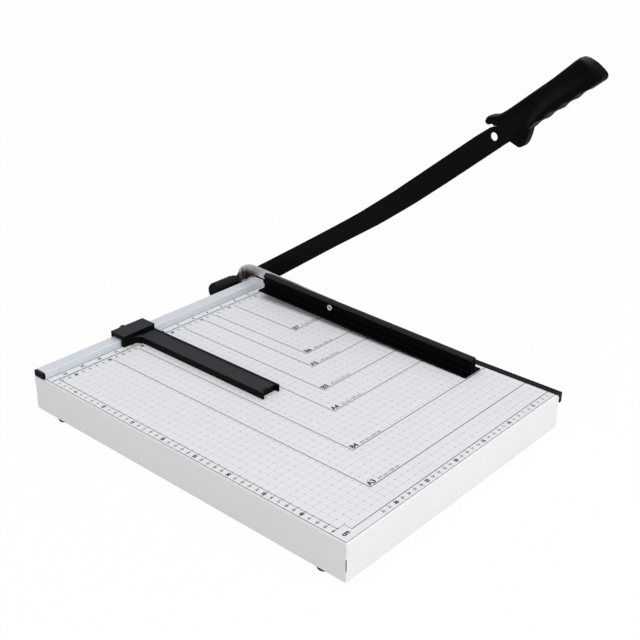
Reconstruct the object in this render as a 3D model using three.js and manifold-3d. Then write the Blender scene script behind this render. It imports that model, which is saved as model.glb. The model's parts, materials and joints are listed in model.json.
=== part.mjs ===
// A paper cutter: a folded steel bed with a fence, a curved blade arm on a spring-loaded pivot,
// a clamp bar on a bent lever, and a paper stop that slides along the fence.
// Millimetres. X runs to the right, Y to the back and Z up. Pieces are placed from the datum corner on the
// bed top, where the front face of the fence meets the cutting plane. The group's own origin is on the floor
// below its middle.
import * as THREE from "three";
import { mergeVertices } from "three/addons/utils/BufferGeometryUtils.js";
import Module from "manifold-3d";

const wasm = await Module();
wasm.setup();

// Fits and working allowances
const RUNNING_GAP = 0.3;
const SEAT_GAP = 0.3;
const OVERRUN = 1;
const MERGE_DISTANCE = 1e-4;

// How finely round pieces are faceted
const ROUND_FACETS = 24;
const SMALL_FACETS = 12;
const HEXAGON_SIDES = 6;
const ARC_STEPS = 5;
const CURVE_STEPS = 20;

// Bed: a tray folded from one sheet
const BED_WIDTH = 378.5;
const BED_DEPTH = 482;
const BED_HEIGHT = 46;
const BED_BEHIND_FENCE = 20;
const SHEET = 1.5;
const FOLD_RADIUS = 2.5;
const CUT_SIDE_TOP_FOLD = 8;
const CUT_SIDE_LOW_FOLD = 5;
const BOTTOM_LIP = 22;
const SEAM_WIDTH = 1;
const SEAM_TOP = 12;
const SEAM_BOTTOM = 32;

// Hat-section stiffeners under the bed
const STIFFENER_CROWN = 24;
const STIFFENER_FLANGE = 10;
const STIFFENER_DEPTH = 14;
const STIFFENER_SHEET = 1.2;
const STIFFENER_END_GAP = 28;
const STIFFENER_BACK_SHARE = 0.36;
const STIFFENER_FRONT_SHARE = 0.72;

// Feet
const FOOT_RADIUS = 8;
const FOOT_HEIGHT = 4;
const FOOT_TAPER = 1;
const FOOT_WALL_INSET = 9.3;
const FOOT_CUT_SIDE_INSET = 13;
const FOOT_FRONT_INSET = 35;
const FOOT_BACK_INSET = 39.5;
const FOOT_BORE = 2;
const FOOT_RECESS_RADIUS = 3.6;
const FOOT_RECESS_DEPTH = 2.4;

// Screws from below and from inside, all of one pattern
const SCREW_RADIUS = 1.4;
const SCREW_HEAD_RADIUS = 2.8;
const SCREW_HEAD_HEIGHT = 1.6;
const SCREW_TIP = 0.5;
const FOOT_SCREW_LENGTH = 6;
const FENCE_SCREW_LENGTH = 6;

// Fence rail, its cap and its screws
const FENCE_START = 15.5;
const FENCE_LENGTH = 364.3;
const FENCE_DEPTH = 17.5;
const FENCE_HEIGHT = 8;
const FENCE_WALL = 2;
const FENCE_RIB = 6;
const FENCE_LEAN = 1;
const FENCE_EDGE = 0.7;
const FENCE_CAP = 3.2;
const FENCE_TONGUE = 6;
const FENCE_SCREW_SHARES = [0.12, 0.5, 0.88];

// Fixed blade
const FIXED_BLADE_LEG = 3;
const FIXED_BLADE_DROP = 11.5;
const FIXED_BLADE_HOOK = 1.2;
const FIXED_BLADE_FLANGE = 9.8;
const FIXED_BLADE_PROUD = 0.5;
const FIXED_BLADE_BACK = 18;
const FIXED_BLADE_OVERHANG = 1.5;
const FIXED_BLADE_SCREW_DROP = 10;
const FIXED_BLADE_SCREW_DEPTH = 1.9;
const FIXED_BLADE_SCREW_RADIUS = 1;
const FIXED_BLADE_SCREW_HEAD_RADIUS = 2;
const FIXED_BLADE_SCREW_COUNT = 4;
const FIXED_BLADE_SCREW_INSET = 60;

// Pivot: its place, and the pieces stacked along its bolt from right to left
const PIVOT_BACK = 34;
const PIVOT_HEIGHT = 0.8;
const BOLT_RADIUS = 4.5;
const BOLT_HEAD_RADIUS = 8;
const BOLT_HEAD_HEIGHT = 5;
const BOLT_HEAD_EDGE = 0.8;
const HEAD_WASHER = 1.2;
const HEAD_WASHER_RADIUS = 9;
const THRUST_WASHER = 1;
const THRUST_WASHER_RADIUS = 8.5;
const EAR_THICKNESS = 3;
const EAR_RADIUS = 9;
const SPACER_LENGTH = 28.5;
const SPACER_RADIUS = 7;
const LEVER_WASHER = 1.2;
const LEVER_WASHER_RADIUS = 9;
const SPRING_LENGTH = 25;
const SPRING_RADIUS = 7.4;
const SPRING_WIRE = 0.9;
const SPRING_CURLS = 7;
const SPRING_SIDES = 5;
const SPRING_STEPS = 8;
const SPRING_WASHER = 1.5;
const NUT_RADIUS = 8;
const NUT_HEIGHT = 6.5;
const BOLT_END = 2;

// Black cap over the spring
const CAP_RADIUS = 12;
const CAP_WALL = 1.6;
const CAP_LENGTH = 38.7;
const CAP_EDGE = 2.4;
const CAP_RIM = 0.8;

// Bracket web, bolted to the back wall
const BRACKET_TOP = 6;
const BRACKET_BOTTOM = 38;
const BRACKET_BOLT_RADIUS = 2.5;
const BRACKET_BOLT_HEAD = 4.6;
const BRACKET_BOLT_HEAD_HEIGHT = 3;
const BRACKET_BOLT_LENGTH = 11;
const BRACKET_BOLT_DROP = 24;
const BRACKET_BOLT_SHARES = [0.3, 0.7];

// Clamp lever: a bent strip from the pivot to the bar
const LEVER_STRIP = 2.5;
const LEVER_START = 25.8;
const LEVER_HALF_DEPTH = 6.5;
const LEVER_BEND = 1.5;
const LEVER_JOG_BACK = 24;
const LEVER_JOG_LOW = 6.8;
const LEVER_JOG_TOP = 28;
const LEVER_ROOT_TOP = 31.6;
const LEVER_EAR_RADIUS = 11;

// Clamp bar: its section, and where it rocks on the lever
const RIVET_FRONT = 141;
const RIVET_ABOVE_FOOT = 12;
const RIVET_RADIUS = 2.8;
const RIVET_BORE = 1.7;
const RIVET_HEAD_RADIUS = 4;
const RIVET_HEAD = 1.2;
const BAR_LENGTH = 340;
const BAR_BACK = 118;
const BAR_TILT_DEGREES = 1.5;
const BAR_FOOT_RIGHT = 18;
const BAR_FOOT_WIDTH = 30.8;
const BAR_FOOT = 2;
const BAR_FOOT_EDGE = 0.7;
const BAR_FILLET = 1.5;
const BAR_WEB_RIGHT = 29.8;
const BAR_WEB = 7.5;
const BAR_HEAD_RIGHT = 1;
const BAR_HEAD_LEFT = 2;
const BAR_HEAD_BOTTOM = 16;
const BAR_HEAD_SIDE = 1;
const BAR_HEIGHT = 22.8;
const BAR_RIDGE = 1.6;
const BAR_CORE_WALL = 1.5;
const BAR_NOTCH_GAP = 0.8;

// Blade arm, drawn lying closed with its pivot at zero: the reach runs to the front, the rise upwards
const ARM_OPEN_DEGREES = 35.5;
const ARM_THICKNESS = 3;
const ARM_REACH = 470;
const ARM_DEPTH = 25;
const ARM_ROOT_RADIUS = 9;
const ARM_HOLE_RADIUS = 5;
const ARM_HOLE_SHARES = [0.998, 0.248];
const ARM_BEVEL = 5;
const ARM_BEVEL_RUNOUT_SHARE = 0.1;
const ARM_TOP_SHARES = [
  [0.21, 0.272], [0.357, 0.224], [0.495, 0.204], [0.627, 0.28], [0.748, 0.416], [0.897, 0.604],
  [0.95, 0.664], [1.0, 0.688],
];
const ARM_EDGE_SHARES = [
  [1.03, -0.272], [0.993, -0.336], [0.94, -0.412], [0.83, -0.56], [0.712, -0.7], [0.623, -0.764],
  [0.525, -0.8], [0.393, -0.756], [0.248, -0.744], [0.108, -0.752],
];

// Moulded handle and the arm's tang inside it, drawn in the arm's own frame
const HANDLE_OVERLAP = 2.6;
const HANDLE_LENGTH = 153.7;
const HANDLE_DEPTH = 28;
const HANDLE_OUTER = 11.5;
const HANDLE_OUTER_EDGE = 2.4;
const HANDLE_RIM = 1.6;
const HANDLE_EDGE_STEPS = 3;
const HANDLE_LIP_SHARES = [
  [0.045, 0.7], [0.01, 0.754], [0, 0.893], [0.008, 0.993], [0.031, 1.036], [0.064, 1.032],
  [0.109, 0.918], [0.154, 0.882], [0.208, 0.882], [0.299, 0.914], [0.477, 0.993], [0.646, 1.057],
  [0.815, 1.157], [0.889, 1.214],
];
const HANDLE_BUTT_SHARES = [
  [0.906, 1.193], [0.932, 1.061], [0.965, 0.782], [0.988, 0.468], [0.996, 0.27], [0.99, 0.15],
  [0.972, 0.075],
];
const HANDLE_HEEL_SHARES = [
  [0.316, -0.196], [0.272, -0.421], [0.228, -0.589], [0.188, -0.65], [0.162, -0.6], [0.145, -0.47],
  [0.116, -0.243],
];
const FINGER_COUNT = 4;
const FINGER_WAVE = 0.7;
const FINGER_PITCH_SHARE = 0.1334;
const FINGER_STEPS = 32;
const FINGER_START_SHARES = [0.33, -0.19];
const TANG_SHARES = [[0.063, 0.554], [0.139, 0.5], [0.766, 0.786], [0.788, 0.268], [0.2, -0.045]];
const POCKET_GAP = 0.3;
const HANDLE_SCREW_RADIUS = 1.8;
const HANDLE_SCREW_HEAD_RADIUS = 3.2;
const HANDLE_SCREW_HEAD = 2;
const HANDLE_SCREW_SINK = 3;
const HANDLE_SCREW_BITE = 4;
const HANDLE_SCREW_SHARES = [[0.45, 0.24], [0.72, 0.375]];

// The handle's near half: a finger bulge and a swell towards the butt, raised off the seam. The first table
// is its upper edge; rows run across it from fingers to thumb, the others say how high each one stands.
const GRIP_TOP_SHARES = [
  [0.285, 0.12], [0.36, 0.42], [0.44, 0.66], [0.52, 0.86], [0.61, 0.99], [0.7, 1.065], [0.79, 1.12],
  [0.86, 1.165], [0.906, 1.17],
];
const GRIP_STEPS = 40;
const GRIP_EDGE = 0.8;
const GRIP_BULGE = 8;
const GRIP_SWELL = 4.6;
const GRIP_ROW_SHARES = [0, 0.05, 0.13, 0.25, 0.38, 0.5, 0.64, 0.8, 0.92, 1];
const GRIP_ROW_BULGE_SHARES = [0.72, 0.93, 1, 0.96, 0.75, 0.42, 0.15, 0, 0, 0];
const GRIP_ROW_SWELL_SHARES = [0.6, 0.8, 0.95, 1, 1, 1, 1, 0.96, 0.8, 0.35];
const GRIP_BULGE_SHARES = [1, 1, 1, 1, 0.97, 0.9, 0.75, 0.52, 0.28, 0.1, 0];
const GRIP_SWELL_SHARES = [0, 0.03, 0.12, 0.3, 0.52, 0.72, 0.87, 0.96, 1, 1, 1];
const GRIP_END_SHARES = [0.5, 0.84, 0.97];

// Paper stop: a head that rides the fence and an arm along the bed
const STOP_RIGHT = 216.8;
const STOP_HEAD_WIDTH = 50.5;
const STOP_HEAD_TOP = 15.2;
const STOP_HEAD_PLATE = 4.8;
const STOP_FLANGE = 2.2;
const STOP_LEG = 4.9;
const STOP_EDGE = 1.4;
const STOP_BED_GAP = 0.3;
const STOP_ARM_WIDTH = 27;
const STOP_ARM_REACH = 221;
const STOP_ARM_HEIGHT = 9;
const STOP_RAIL = 2;
const STOP_RECESS = 1.2;
const STOP_PLATE = 2;
const STOP_END_NOTCH = 5;
const STOP_FILLET = 11;
const STOP_CLIP_RADIUS = 3.4;
const STOP_CLIP_WALL = 1.2;
const STOP_CLIP_HEIGHT = 1;
const STOP_CLIP_INSET = 4.5;
const STOP_RIB = 1.6;
const STOP_RIB_COUNT = 5;

// Thumb screw that locks the stop against the back of the fence
const LOCK_HEIGHT = 5;
const LOCK_RADIUS = 2;
const LOCK_BOSS_RADIUS = 4;
const LOCK_BOSS = 3;
const LOCK_KNOB_RADIUS = 6;
const LOCK_KNOB_LENGTH = 7;
const LOCK_KNOB_EDGE = 0.8;
const LOCK_FLUTE_RADIUS = 1.1;
const FLUTE_FACETS = 8;
const LOCK_FLUTE_COUNT = 10;

// Finishes seen on the real thing
const FINISHES = {
  white_paint: { color: 0xe9e9ea, roughness: 0.45, metalness: 0.0 },
  bare_sheet: { color: 0xb9bcc0, roughness: 0.45, metalness: 1.0 },
  aluminium: { color: 0xc9d0d6, roughness: 0.35, metalness: 1.0 },
  bright_zinc: { color: 0xc4c0ba, roughness: 0.25, metalness: 1.0 },
  blackened_steel: { color: 0x16181a, roughness: 0.4, metalness: 0.6 },
  black_paint: { color: 0x0d0e10, roughness: 0.45, metalness: 0.0 },
  black_plastic: { color: 0x1a1b1f, roughness: 0.55, metalness: 0.0 },
  black_rubber: { color: 0x111111, roughness: 0.9, metalness: 0.0 },
};

// Places that follow from the sizes
const RIGHT_WALL = FIXED_BLADE_LEG + SEAT_GAP;
const LEFT_WALL = RIGHT_WALL + BED_WIDTH;
const FRONT_WALL = BED_DEPTH - BED_BEHIND_FENCE;
const FENCE_END = FENCE_START + FENCE_LENGTH;
const ARM_INNER_FACE = -SEAT_GAP;
const ARM_OUTER_FACE = ARM_INNER_FACE - ARM_THICKNESS;
const THRUST_START = ARM_INNER_FACE + RUNNING_GAP;
const EAR_RIGHT = THRUST_START + THRUST_WASHER;
const SPACER_START = EAR_RIGHT + EAR_THICKNESS;
const EAR_LEFT = SPACER_START + SPACER_LENGTH;
const LEVER_EAR = EAR_LEFT + EAR_THICKNESS + RUNNING_GAP;
const LEVER_WASHER_START = LEVER_EAR + LEVER_STRIP + RUNNING_GAP;
const SPRING_START = LEVER_WASHER_START + LEVER_WASHER;
const SPRING_WASHER_START = SPRING_START + SPRING_LENGTH;
const NUT_START = SPRING_WASHER_START + SPRING_WASHER;
const CAP_START = SPRING_START + RUNNING_GAP;
const BAR_TILT = THREE.MathUtils.degToRad(BAR_TILT_DEGREES);
const RIVET_HEIGHT =
  SEAT_GAP + (BAR_LENGTH - BAR_BACK) * Math.sin(BAR_TILT) + RIVET_ABOVE_FOOT * Math.cos(BAR_TILT);
const HANDLE_START = ARM_REACH - HANDLE_OVERLAP;
const FINGER_PITCH = FINGER_PITCH_SHARE * HANDLE_LENGTH;
const STOP_HEAD_LEFT = STOP_RIGHT + STOP_HEAD_WIDTH;
const STOP_ARM_LEFT = STOP_RIGHT + STOP_ARM_WIDTH;
const LOCK_PLACE = (STOP_RIGHT + STOP_HEAD_LEFT) / 2;

const left = (distance) => -distance;
const front = (distance) => -distance;
const down = (distance) => -distance;

// A closed geometry as a solid that faces outwards.
function solid(geometry) {
  const bare = geometry.index ? geometry.toNonIndexed() : geometry.clone();
  bare.deleteAttribute("normal");
  bare.deleteAttribute("uv");
  const merged = mergeVertices(bare, MERGE_DISTANCE);
  const corners = merged.index.array;
  const triangles = [];
  for (let i = 0; i < corners.length; i += 3) {
    const [a, b, c] = [corners[i], corners[i + 1], corners[i + 2]];
    if (a !== b && b !== c && c !== a) triangles.push(a, b, c);
  }
  const vertProperties = merged.attributes.position.array;
  const made = new wasm.Manifold(
    new wasm.Mesh({ numProp: 3, vertProperties, triVerts: new Uint32Array(triangles) }),
  );
  if (made.volume() > 0) return made;
  return new wasm.Manifold(
    new wasm.Mesh({ numProp: 3, vertProperties, triVerts: new Uint32Array(triangles.reverse()) }),
  );
}

const join = (...bodies) => bodies.reduce((whole, body) => whole.add(body));
const cut = (body, ...tools) => tools.reduce((rest, tool) => rest.subtract(tool), body);
const shared = (...bodies) => bodies.reduce((whole, body) => whole.intersect(body));

// A named mesh of a solid, with a material of its own.
function piece(name, body, finish) {
  const { vertProperties, triVerts, numProp } = body.getMesh();
  const positions = new Float32Array((vertProperties.length / numProp) * 3);
  for (let i = 0; i < positions.length / 3; i++)
    positions.set(vertProperties.subarray(i * numProp, i * numProp + 3), i * 3);
  const geometry = new THREE.BufferGeometry();
  geometry.setAttribute("position", new THREE.BufferAttribute(positions, 3));
  geometry.setIndex(new THREE.BufferAttribute(new Uint32Array(triVerts), 1));
  geometry.computeVertexNormals();
  const mesh = new THREE.Mesh(geometry, new THREE.MeshStandardMaterial(FINISHES[finish]));
  mesh.name = name;
  return mesh;
}

// Extrudes a profile and turns it: the profile's own x, its y and the push each get an axis of the part.
function extruded(shape, length, axes, start) {
  const geometry = new THREE.ExtrudeGeometry(shape, {
    depth: length,
    bevelEnabled: false,
    curveSegments: ARC_STEPS,
  });
  geometry.applyMatrix4(new THREE.Matrix4().makeBasis(...axes));
  geometry.translate(start.x, start.y, start.z);
  return solid(geometry);
}

const RIGHTWARDS = new THREE.Vector3(1, 0, 0);
const BACKWARDS = new THREE.Vector3(0, 1, 0);
const FORWARDS = new THREE.Vector3(0, -1, 0);
const UPWARDS = new THREE.Vector3(0, 0, 1);

// A profile seen from the front (x to the right, y up), pushed from back to front.
const pushedForward = (shape, back, fore) =>
  extruded(shape, back - fore, [RIGHTWARDS, UPWARDS, FORWARDS], new THREE.Vector3(0, back, 0));

// A profile seen from the right side (x to the back, y up), pushed from left to right.
const pushedAcross = (shape, from, to) =>
  extruded(shape, to - from, [BACKWARDS, UPWARDS, RIGHTWARDS], new THREE.Vector3(from, 0, 0));

// A profile seen from above (x to the right, y to the back), pushed up.
const pushedUp = (shape, low, high) =>
  extruded(shape, high - low, [RIGHTWARDS, BACKWARDS, UPWARDS], new THREE.Vector3(0, 0, low));

// A closed profile; where two curves meet, their shared point is taken once.
function polygon(points) {
  const corners = points.map(([x, y]) => new THREE.Vector2(x, y));
  const apart = (corner, i) => corner.distanceTo(corners.at(i - 1)) > MERGE_DISTANCE;
  return new THREE.Shape(corners.filter(apart));
}

function block(x, y, z) {
  const geometry = new THREE.BoxGeometry(x[1] - x[0], y[1] - y[0], z[1] - z[0]);
  geometry.translate((x[0] + x[1]) / 2, (y[0] + y[1]) / 2, (z[0] + z[1]) / 2);
  return solid(geometry);
}

// A rectangle whose corners have their own radii, from top left clockwise.
function roundedRectangle(low, high, [topLeft, topRight, bottomRight, bottomLeft]) {
  const shape = new THREE.Shape();
  shape.moveTo(low[0] + bottomLeft, low[1]);
  shape.lineTo(high[0] - bottomRight, low[1]);
  shape.absarc(high[0] - bottomRight, low[1] + bottomRight, bottomRight, -Math.PI / 2, 0);
  shape.lineTo(high[0], high[1] - topRight);
  shape.absarc(high[0] - topRight, high[1] - topRight, topRight, 0, Math.PI / 2);
  shape.lineTo(low[0] + topLeft, high[1]);
  shape.absarc(low[0] + topLeft, high[1] - topLeft, topLeft, Math.PI / 2, Math.PI);
  shape.lineTo(low[0], low[1] + bottomLeft);
  shape.absarc(low[0] + bottomLeft, low[1] + bottomLeft, bottomLeft, Math.PI, Math.PI * 1.5);
  return shape;
}

// A turned geometry about Y, from pairs of radius and place along the axis.
function turned(profile, facets) {
  return new THREE.LatheGeometry(profile.map(([radius, along]) => new THREE.Vector2(radius, along)), facets);
}

// Turned about a line to the left, at a distance back and a height; places along it are distances left.
function turnedLeft(profile, back, height, facets = ROUND_FACETS) {
  const geometry = turned(profile, facets);
  geometry.rotateZ(Math.PI / 2);
  geometry.translate(0, back, height);
  return solid(geometry);
}

// Turned about an upright line.
function turnedUp(profile, x, y, facets = SMALL_FACETS) {
  const geometry = turned(profile, facets);
  geometry.rotateX(Math.PI / 2);
  geometry.translate(x, y, 0);
  return solid(geometry);
}

// Turned about a line to the back; places along it are distances back from the fence's front face.
function turnedBack(profile, x, z, facets = SMALL_FACETS) {
  const geometry = turned(profile, facets);
  geometry.translate(x, 0, z);
  return solid(geometry);
}

const rod = (radius, from, to) => [[0, from], [radius, from], [radius, to], [0, to]];
const tube = (bore, radius, from, to) => [
  [bore, from], [radius, from], [radius, to], [bore, to], [bore, from],
];

// A pan-head screw whose head sits before the seat and whose shank runs on past it.
function panScrew(seat, direction, radius, length, headRadius, headHeight) {
  const at = (distance) => seat + direction * distance;
  return [
    [0, at(-headHeight)], [headRadius - SCREW_TIP, at(-headHeight)], [headRadius, at(-headHeight / 2)],
    [headRadius, at(0)], [radius, at(0)], [radius, at(length - SCREW_TIP)], [radius - SCREW_TIP, at(length)],
    [0, at(length)],
  ];
}

const hexagonProfile = (radius, y, z) => {
  const corners = Array.from({ length: HEXAGON_SIDES }, (_, i) => (i / HEXAGON_SIDES) * Math.PI * 2);
  return polygon(corners.map((angle) => [y + radius * Math.cos(angle), z + radius * Math.sin(angle)]));
};

// Joins two outlines of equally many points, one at x = from and one at x = to, drawn back and up.
function lofted(first, from, second, to) {
  const outline = first.map(([y, z]) => new THREE.Vector2(y, z));
  const faces = THREE.ShapeUtils.triangulateShape(outline, []);
  const count = first.length;
  const positions = [...first.map(([y, z]) => [from, y, z]), ...second.map(([y, z]) => [to, y, z])].flat();
  const indices = [];
  for (const [a, b, c] of faces) indices.push(a, b, c, count + c, count + b, count + a);
  for (let i = 0; i < count; i++) {
    const next = (i + 1) % count;
    indices.push(next, i, count + i, next, count + i, count + next);
  }
  const geometry = new THREE.BufferGeometry();
  geometry.setAttribute("position", new THREE.Float32BufferAttribute(positions, 3));
  geometry.setIndex(indices);
  return solid(geometry);
}

const spread = (count, first, last) =>
  Array.from({ length: count }, (_, i) => first + ((last - first) * i) / (count - 1));

const fencePlaces = FENCE_SCREW_SHARES.map((share) => left(FENCE_START + share * FENCE_LENGTH));
const fixedBladePlaces = spread(
  FIXED_BLADE_SCREW_COUNT,
  front(FIXED_BLADE_SCREW_INSET),
  front(FRONT_WALL - FIXED_BLADE_SCREW_INSET),
);
const bracketBoltPlaces = BRACKET_BOLT_SHARES.map((share) => left(SPACER_START + share * SPACER_LENGTH));
const footPlaces = [
  [left(LEFT_WALL - FOOT_WALL_INSET), front(FRONT_WALL - FOOT_FRONT_INSET)],
  [left(RIGHT_WALL + FOOT_CUT_SIDE_INSET), front(FRONT_WALL - FOOT_FRONT_INSET)],
  [left(LEFT_WALL - FOOT_WALL_INSET), BED_BEHIND_FENCE - FOOT_BACK_INSET],
  [left(RIGHT_WALL + FOOT_CUT_SIDE_INSET), BED_BEHIND_FENCE - FOOT_BACK_INSET],
];

// The tray: crossed extrusions give its folded edges, a second pair inside leaves the sheet.
function baseShell() {
  const inner = (radius) => Math.max(radius - SHEET, SHEET / 2);
  const acrossFolds = [FOLD_RADIUS, CUT_SIDE_TOP_FOLD, CUT_SIDE_LOW_FOLD, FOLD_RADIUS];
  const alongFolds = [FOLD_RADIUS, FOLD_RADIUS, FOLD_RADIUS, FOLD_RADIUS];
  const outside = shared(
    pushedForward(
      roundedRectangle([left(LEFT_WALL), down(BED_HEIGHT)], [left(RIGHT_WALL), 0], acrossFolds),
      BED_BEHIND_FENCE,
      front(FRONT_WALL),
    ),
    pushedAcross(
      roundedRectangle([front(FRONT_WALL), down(BED_HEIGHT)], [BED_BEHIND_FENCE, 0], alongFolds),
      left(LEFT_WALL),
      left(RIGHT_WALL),
    ),
  );
  const inside = shared(
    pushedForward(
      roundedRectangle(
        [left(LEFT_WALL - SHEET), down(BED_HEIGHT - SHEET)],
        [left(RIGHT_WALL + SHEET), down(SHEET)],
        acrossFolds.map(inner),
      ),
      BED_BEHIND_FENCE - SHEET,
      front(FRONT_WALL - SHEET),
    ),
    pushedAcross(
      roundedRectangle(
        [front(FRONT_WALL - SHEET), down(BED_HEIGHT - SHEET)],
        [BED_BEHIND_FENCE - SHEET, down(SHEET)],
        alongFolds.map(inner),
      ),
      left(LEFT_WALL - SHEET),
      left(RIGHT_WALL + SHEET),
    ),
  );
  const mouth = block(
    [left(LEFT_WALL - BOTTOM_LIP), left(RIGHT_WALL + BOTTOM_LIP)],
    [front(FRONT_WALL - BOTTOM_LIP), BED_BEHIND_FENCE - BOTTOM_LIP],
    [down(BED_HEIGHT + OVERRUN), down(BED_HEIGHT - SHEET - OVERRUN)],
  );
  const seams = [left(LEFT_WALL), left(RIGHT_WALL)].flatMap((x) =>
    [front(FRONT_WALL), BED_BEHIND_FENCE].map((y) => {
      const geometry = new THREE.BoxGeometry(SEAM_WIDTH, SHEET * 4, SEAM_BOTTOM - SEAM_TOP);
      geometry.rotateZ((x < left(RIGHT_WALL + BOTTOM_LIP) ? -1 : 1) * (y < 0 ? 1 : -1) * (Math.PI / 4));
      geometry.translate(x, y, down((SEAM_TOP + SEAM_BOTTOM) / 2));
      return solid(geometry);
    }),
  );
  const hole = SCREW_RADIUS + SEAT_GAP;
  const bedHole = rod(hole, down(SHEET + OVERRUN), OVERRUN);
  const lipHole = rod(hole, down(BED_HEIGHT + OVERRUN), down(BED_HEIGHT - SHEET - OVERRUN));
  const wallHole = rod(
    FIXED_BLADE_SCREW_RADIUS + SEAT_GAP,
    RIGHT_WALL - OVERRUN,
    RIGHT_WALL + SHEET + OVERRUN,
  );
  const boltHole = rod(
    BRACKET_BOLT_RADIUS + SEAT_GAP,
    BED_BEHIND_FENCE - SHEET - OVERRUN,
    BED_BEHIND_FENCE + OVERRUN,
  );
  const fenceY = FENCE_DEPTH / 2;
  return cut(
    outside,
    inside,
    mouth,
    ...seams,
    ...fencePlaces.map((x) => turnedUp(bedHole, x, fenceY)),
    ...footPlaces.map(([x, y]) => turnedUp(lipHole, x, y)),
    ...fixedBladePlaces.map((y) => turnedLeft(wallHole, y, down(FIXED_BLADE_SCREW_DROP), SMALL_FACETS)),
    ...bracketBoltPlaces.map((x) => turnedBack(boltHole, x, down(BRACKET_BOLT_DROP))),
  );
}

function stiffener(share) {
  const a = STIFFENER_CROWN / 2;
  const f = STIFFENER_FLANGE;
  const t = STIFFENER_SHEET;
  const d = STIFFENER_DEPTH;
  const half = [[a, 0], [a + f, 0], [a + f, -t], [a + t, -t], [a + t, -d]];
  const mirrored = half.map(([y, z]) => [-y, z]).reverse();
  const hat = [...half, ...mirrored, [-a, t - d], [a, t - d]];
  const middle = BED_BEHIND_FENCE - share * BED_DEPTH;
  return pushedAcross(
    polygon(hat.map(([y, z]) => [middle + y, z - SHEET])),
    left(LEFT_WALL - STIFFENER_END_GAP),
    left(RIGHT_WALL + STIFFENER_END_GAP),
  );
}

function foot([x, y]) {
  const top = down(BED_HEIGHT);
  const floor = top - FOOT_HEIGHT;
  const recess = floor + FOOT_RECESS_DEPTH;
  const profile = [
    [FOOT_RECESS_RADIUS, floor], [FOOT_RADIUS - FOOT_TAPER, floor], [FOOT_RADIUS, top - FOOT_TAPER],
    [FOOT_RADIUS, top], [FOOT_BORE, top], [FOOT_BORE, recess], [FOOT_RECESS_RADIUS, recess],
    [FOOT_RECESS_RADIUS, floor],
  ];
  return turnedUp(profile, x, y, ROUND_FACETS);
}

function footScrew([x, y]) {
  const seat = down(BED_HEIGHT + FOOT_HEIGHT - FOOT_RECESS_DEPTH);
  const profile = panScrew(seat, 1, SCREW_RADIUS, FOOT_SCREW_LENGTH, SCREW_HEAD_RADIUS, SCREW_HEAD_HEIGHT);
  return turnedUp(profile, x, y);
}

// The fence's outer outline, seen from the side, with its two upper edges broken.
const fenceOutline = () => [
  [0, 0], [FENCE_LEAN, FENCE_HEIGHT - FENCE_EDGE], [FENCE_LEAN + FENCE_EDGE, FENCE_HEIGHT],
  [FENCE_DEPTH - FENCE_EDGE, FENCE_HEIGHT], [FENCE_DEPTH, FENCE_HEIGHT - FENCE_EDGE], [FENCE_DEPTH, 0],
];
const fenceRibFront = (FENCE_DEPTH - FENCE_RIB) / 2;
const fenceRibBack = (FENCE_DEPTH + FENCE_RIB) / 2;
const fenceRoof = FENCE_HEIGHT - FENCE_WALL;

function fenceRail() {
  const section = polygon([
    ...fenceOutline(), [FENCE_DEPTH - FENCE_WALL, 0], [FENCE_DEPTH - FENCE_WALL, fenceRoof],
    [fenceRibBack, fenceRoof], [fenceRibBack, 0], [fenceRibFront, 0], [fenceRibFront, fenceRoof],
    [FENCE_WALL + FENCE_LEAN, fenceRoof], [FENCE_WALL, 0],
  ]);
  const hole = rod(SCREW_RADIUS + SEAT_GAP, down(OVERRUN), FENCE_SCREW_LENGTH - SHEET + SEAT_GAP);
  return cut(
    pushedAcross(section, left(FENCE_END), left(FENCE_START)),
    ...fencePlaces.map((x) => turnedUp(hole, x, FENCE_DEPTH / 2)),
  );
}

function fenceEndCap() {
  const within = [left(FENCE_END + FENCE_CAP / 2), left(FENCE_END - FENCE_TONGUE)];
  const tongue = (from, to) => block(within, [from, to], [SEAT_GAP, fenceRoof - SEAT_GAP]);
  return join(
    pushedAcross(polygon(fenceOutline()), left(FENCE_END + FENCE_CAP), left(FENCE_END)),
    tongue(FENCE_WALL + FENCE_LEAN + SEAT_GAP, fenceRibFront - SEAT_GAP),
    tongue(fenceRibBack + SEAT_GAP, FENCE_DEPTH - FENCE_WALL - SEAT_GAP),
  );
}

function fenceScrew(x) {
  const seat = down(SHEET);
  const profile = panScrew(seat, 1, SCREW_RADIUS, FENCE_SCREW_LENGTH, SCREW_HEAD_RADIUS, SCREW_HEAD_HEIGHT);
  return turnedUp(profile, x, FENCE_DEPTH / 2);
}

// An angle with a sharp outer corner whose inside hugs the folded edge of the bed.
function fixedBlade() {
  const foldMiddle = [left(RIGHT_WALL + CUT_SIDE_TOP_FOLD), down(CUT_SIDE_TOP_FOLD)];
  const hug = CUT_SIDE_TOP_FOLD + SEAT_GAP;
  const reach = FIXED_BLADE_FLANGE + foldMiddle[0];
  const end = Math.atan2(Math.sqrt(hug * hug - reach * reach), -reach);
  const section = new THREE.Shape();
  section.moveTo(0, FIXED_BLADE_PROUD);
  section.lineTo(left(FIXED_BLADE_FLANGE), FIXED_BLADE_PROUD);
  section.absarc(foldMiddle[0], foldMiddle[1], hug, end, 0, true);
  section.lineTo(left(FIXED_BLADE_LEG), down(FIXED_BLADE_DROP + FIXED_BLADE_HOOK));
  section.lineTo(0, down(FIXED_BLADE_DROP));
  const tip = FIXED_BLADE_LEG - FIXED_BLADE_SCREW_DEPTH - SEAT_GAP;
  const hole = rod(FIXED_BLADE_SCREW_RADIUS + SEAT_GAP, tip, RIGHT_WALL);
  return cut(
    pushedForward(section, FIXED_BLADE_BACK, front(FRONT_WALL + FIXED_BLADE_OVERHANG)),
    ...fixedBladePlaces.map((y) => turnedLeft(hole, y, down(FIXED_BLADE_SCREW_DROP), SMALL_FACETS)),
  );
}

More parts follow.
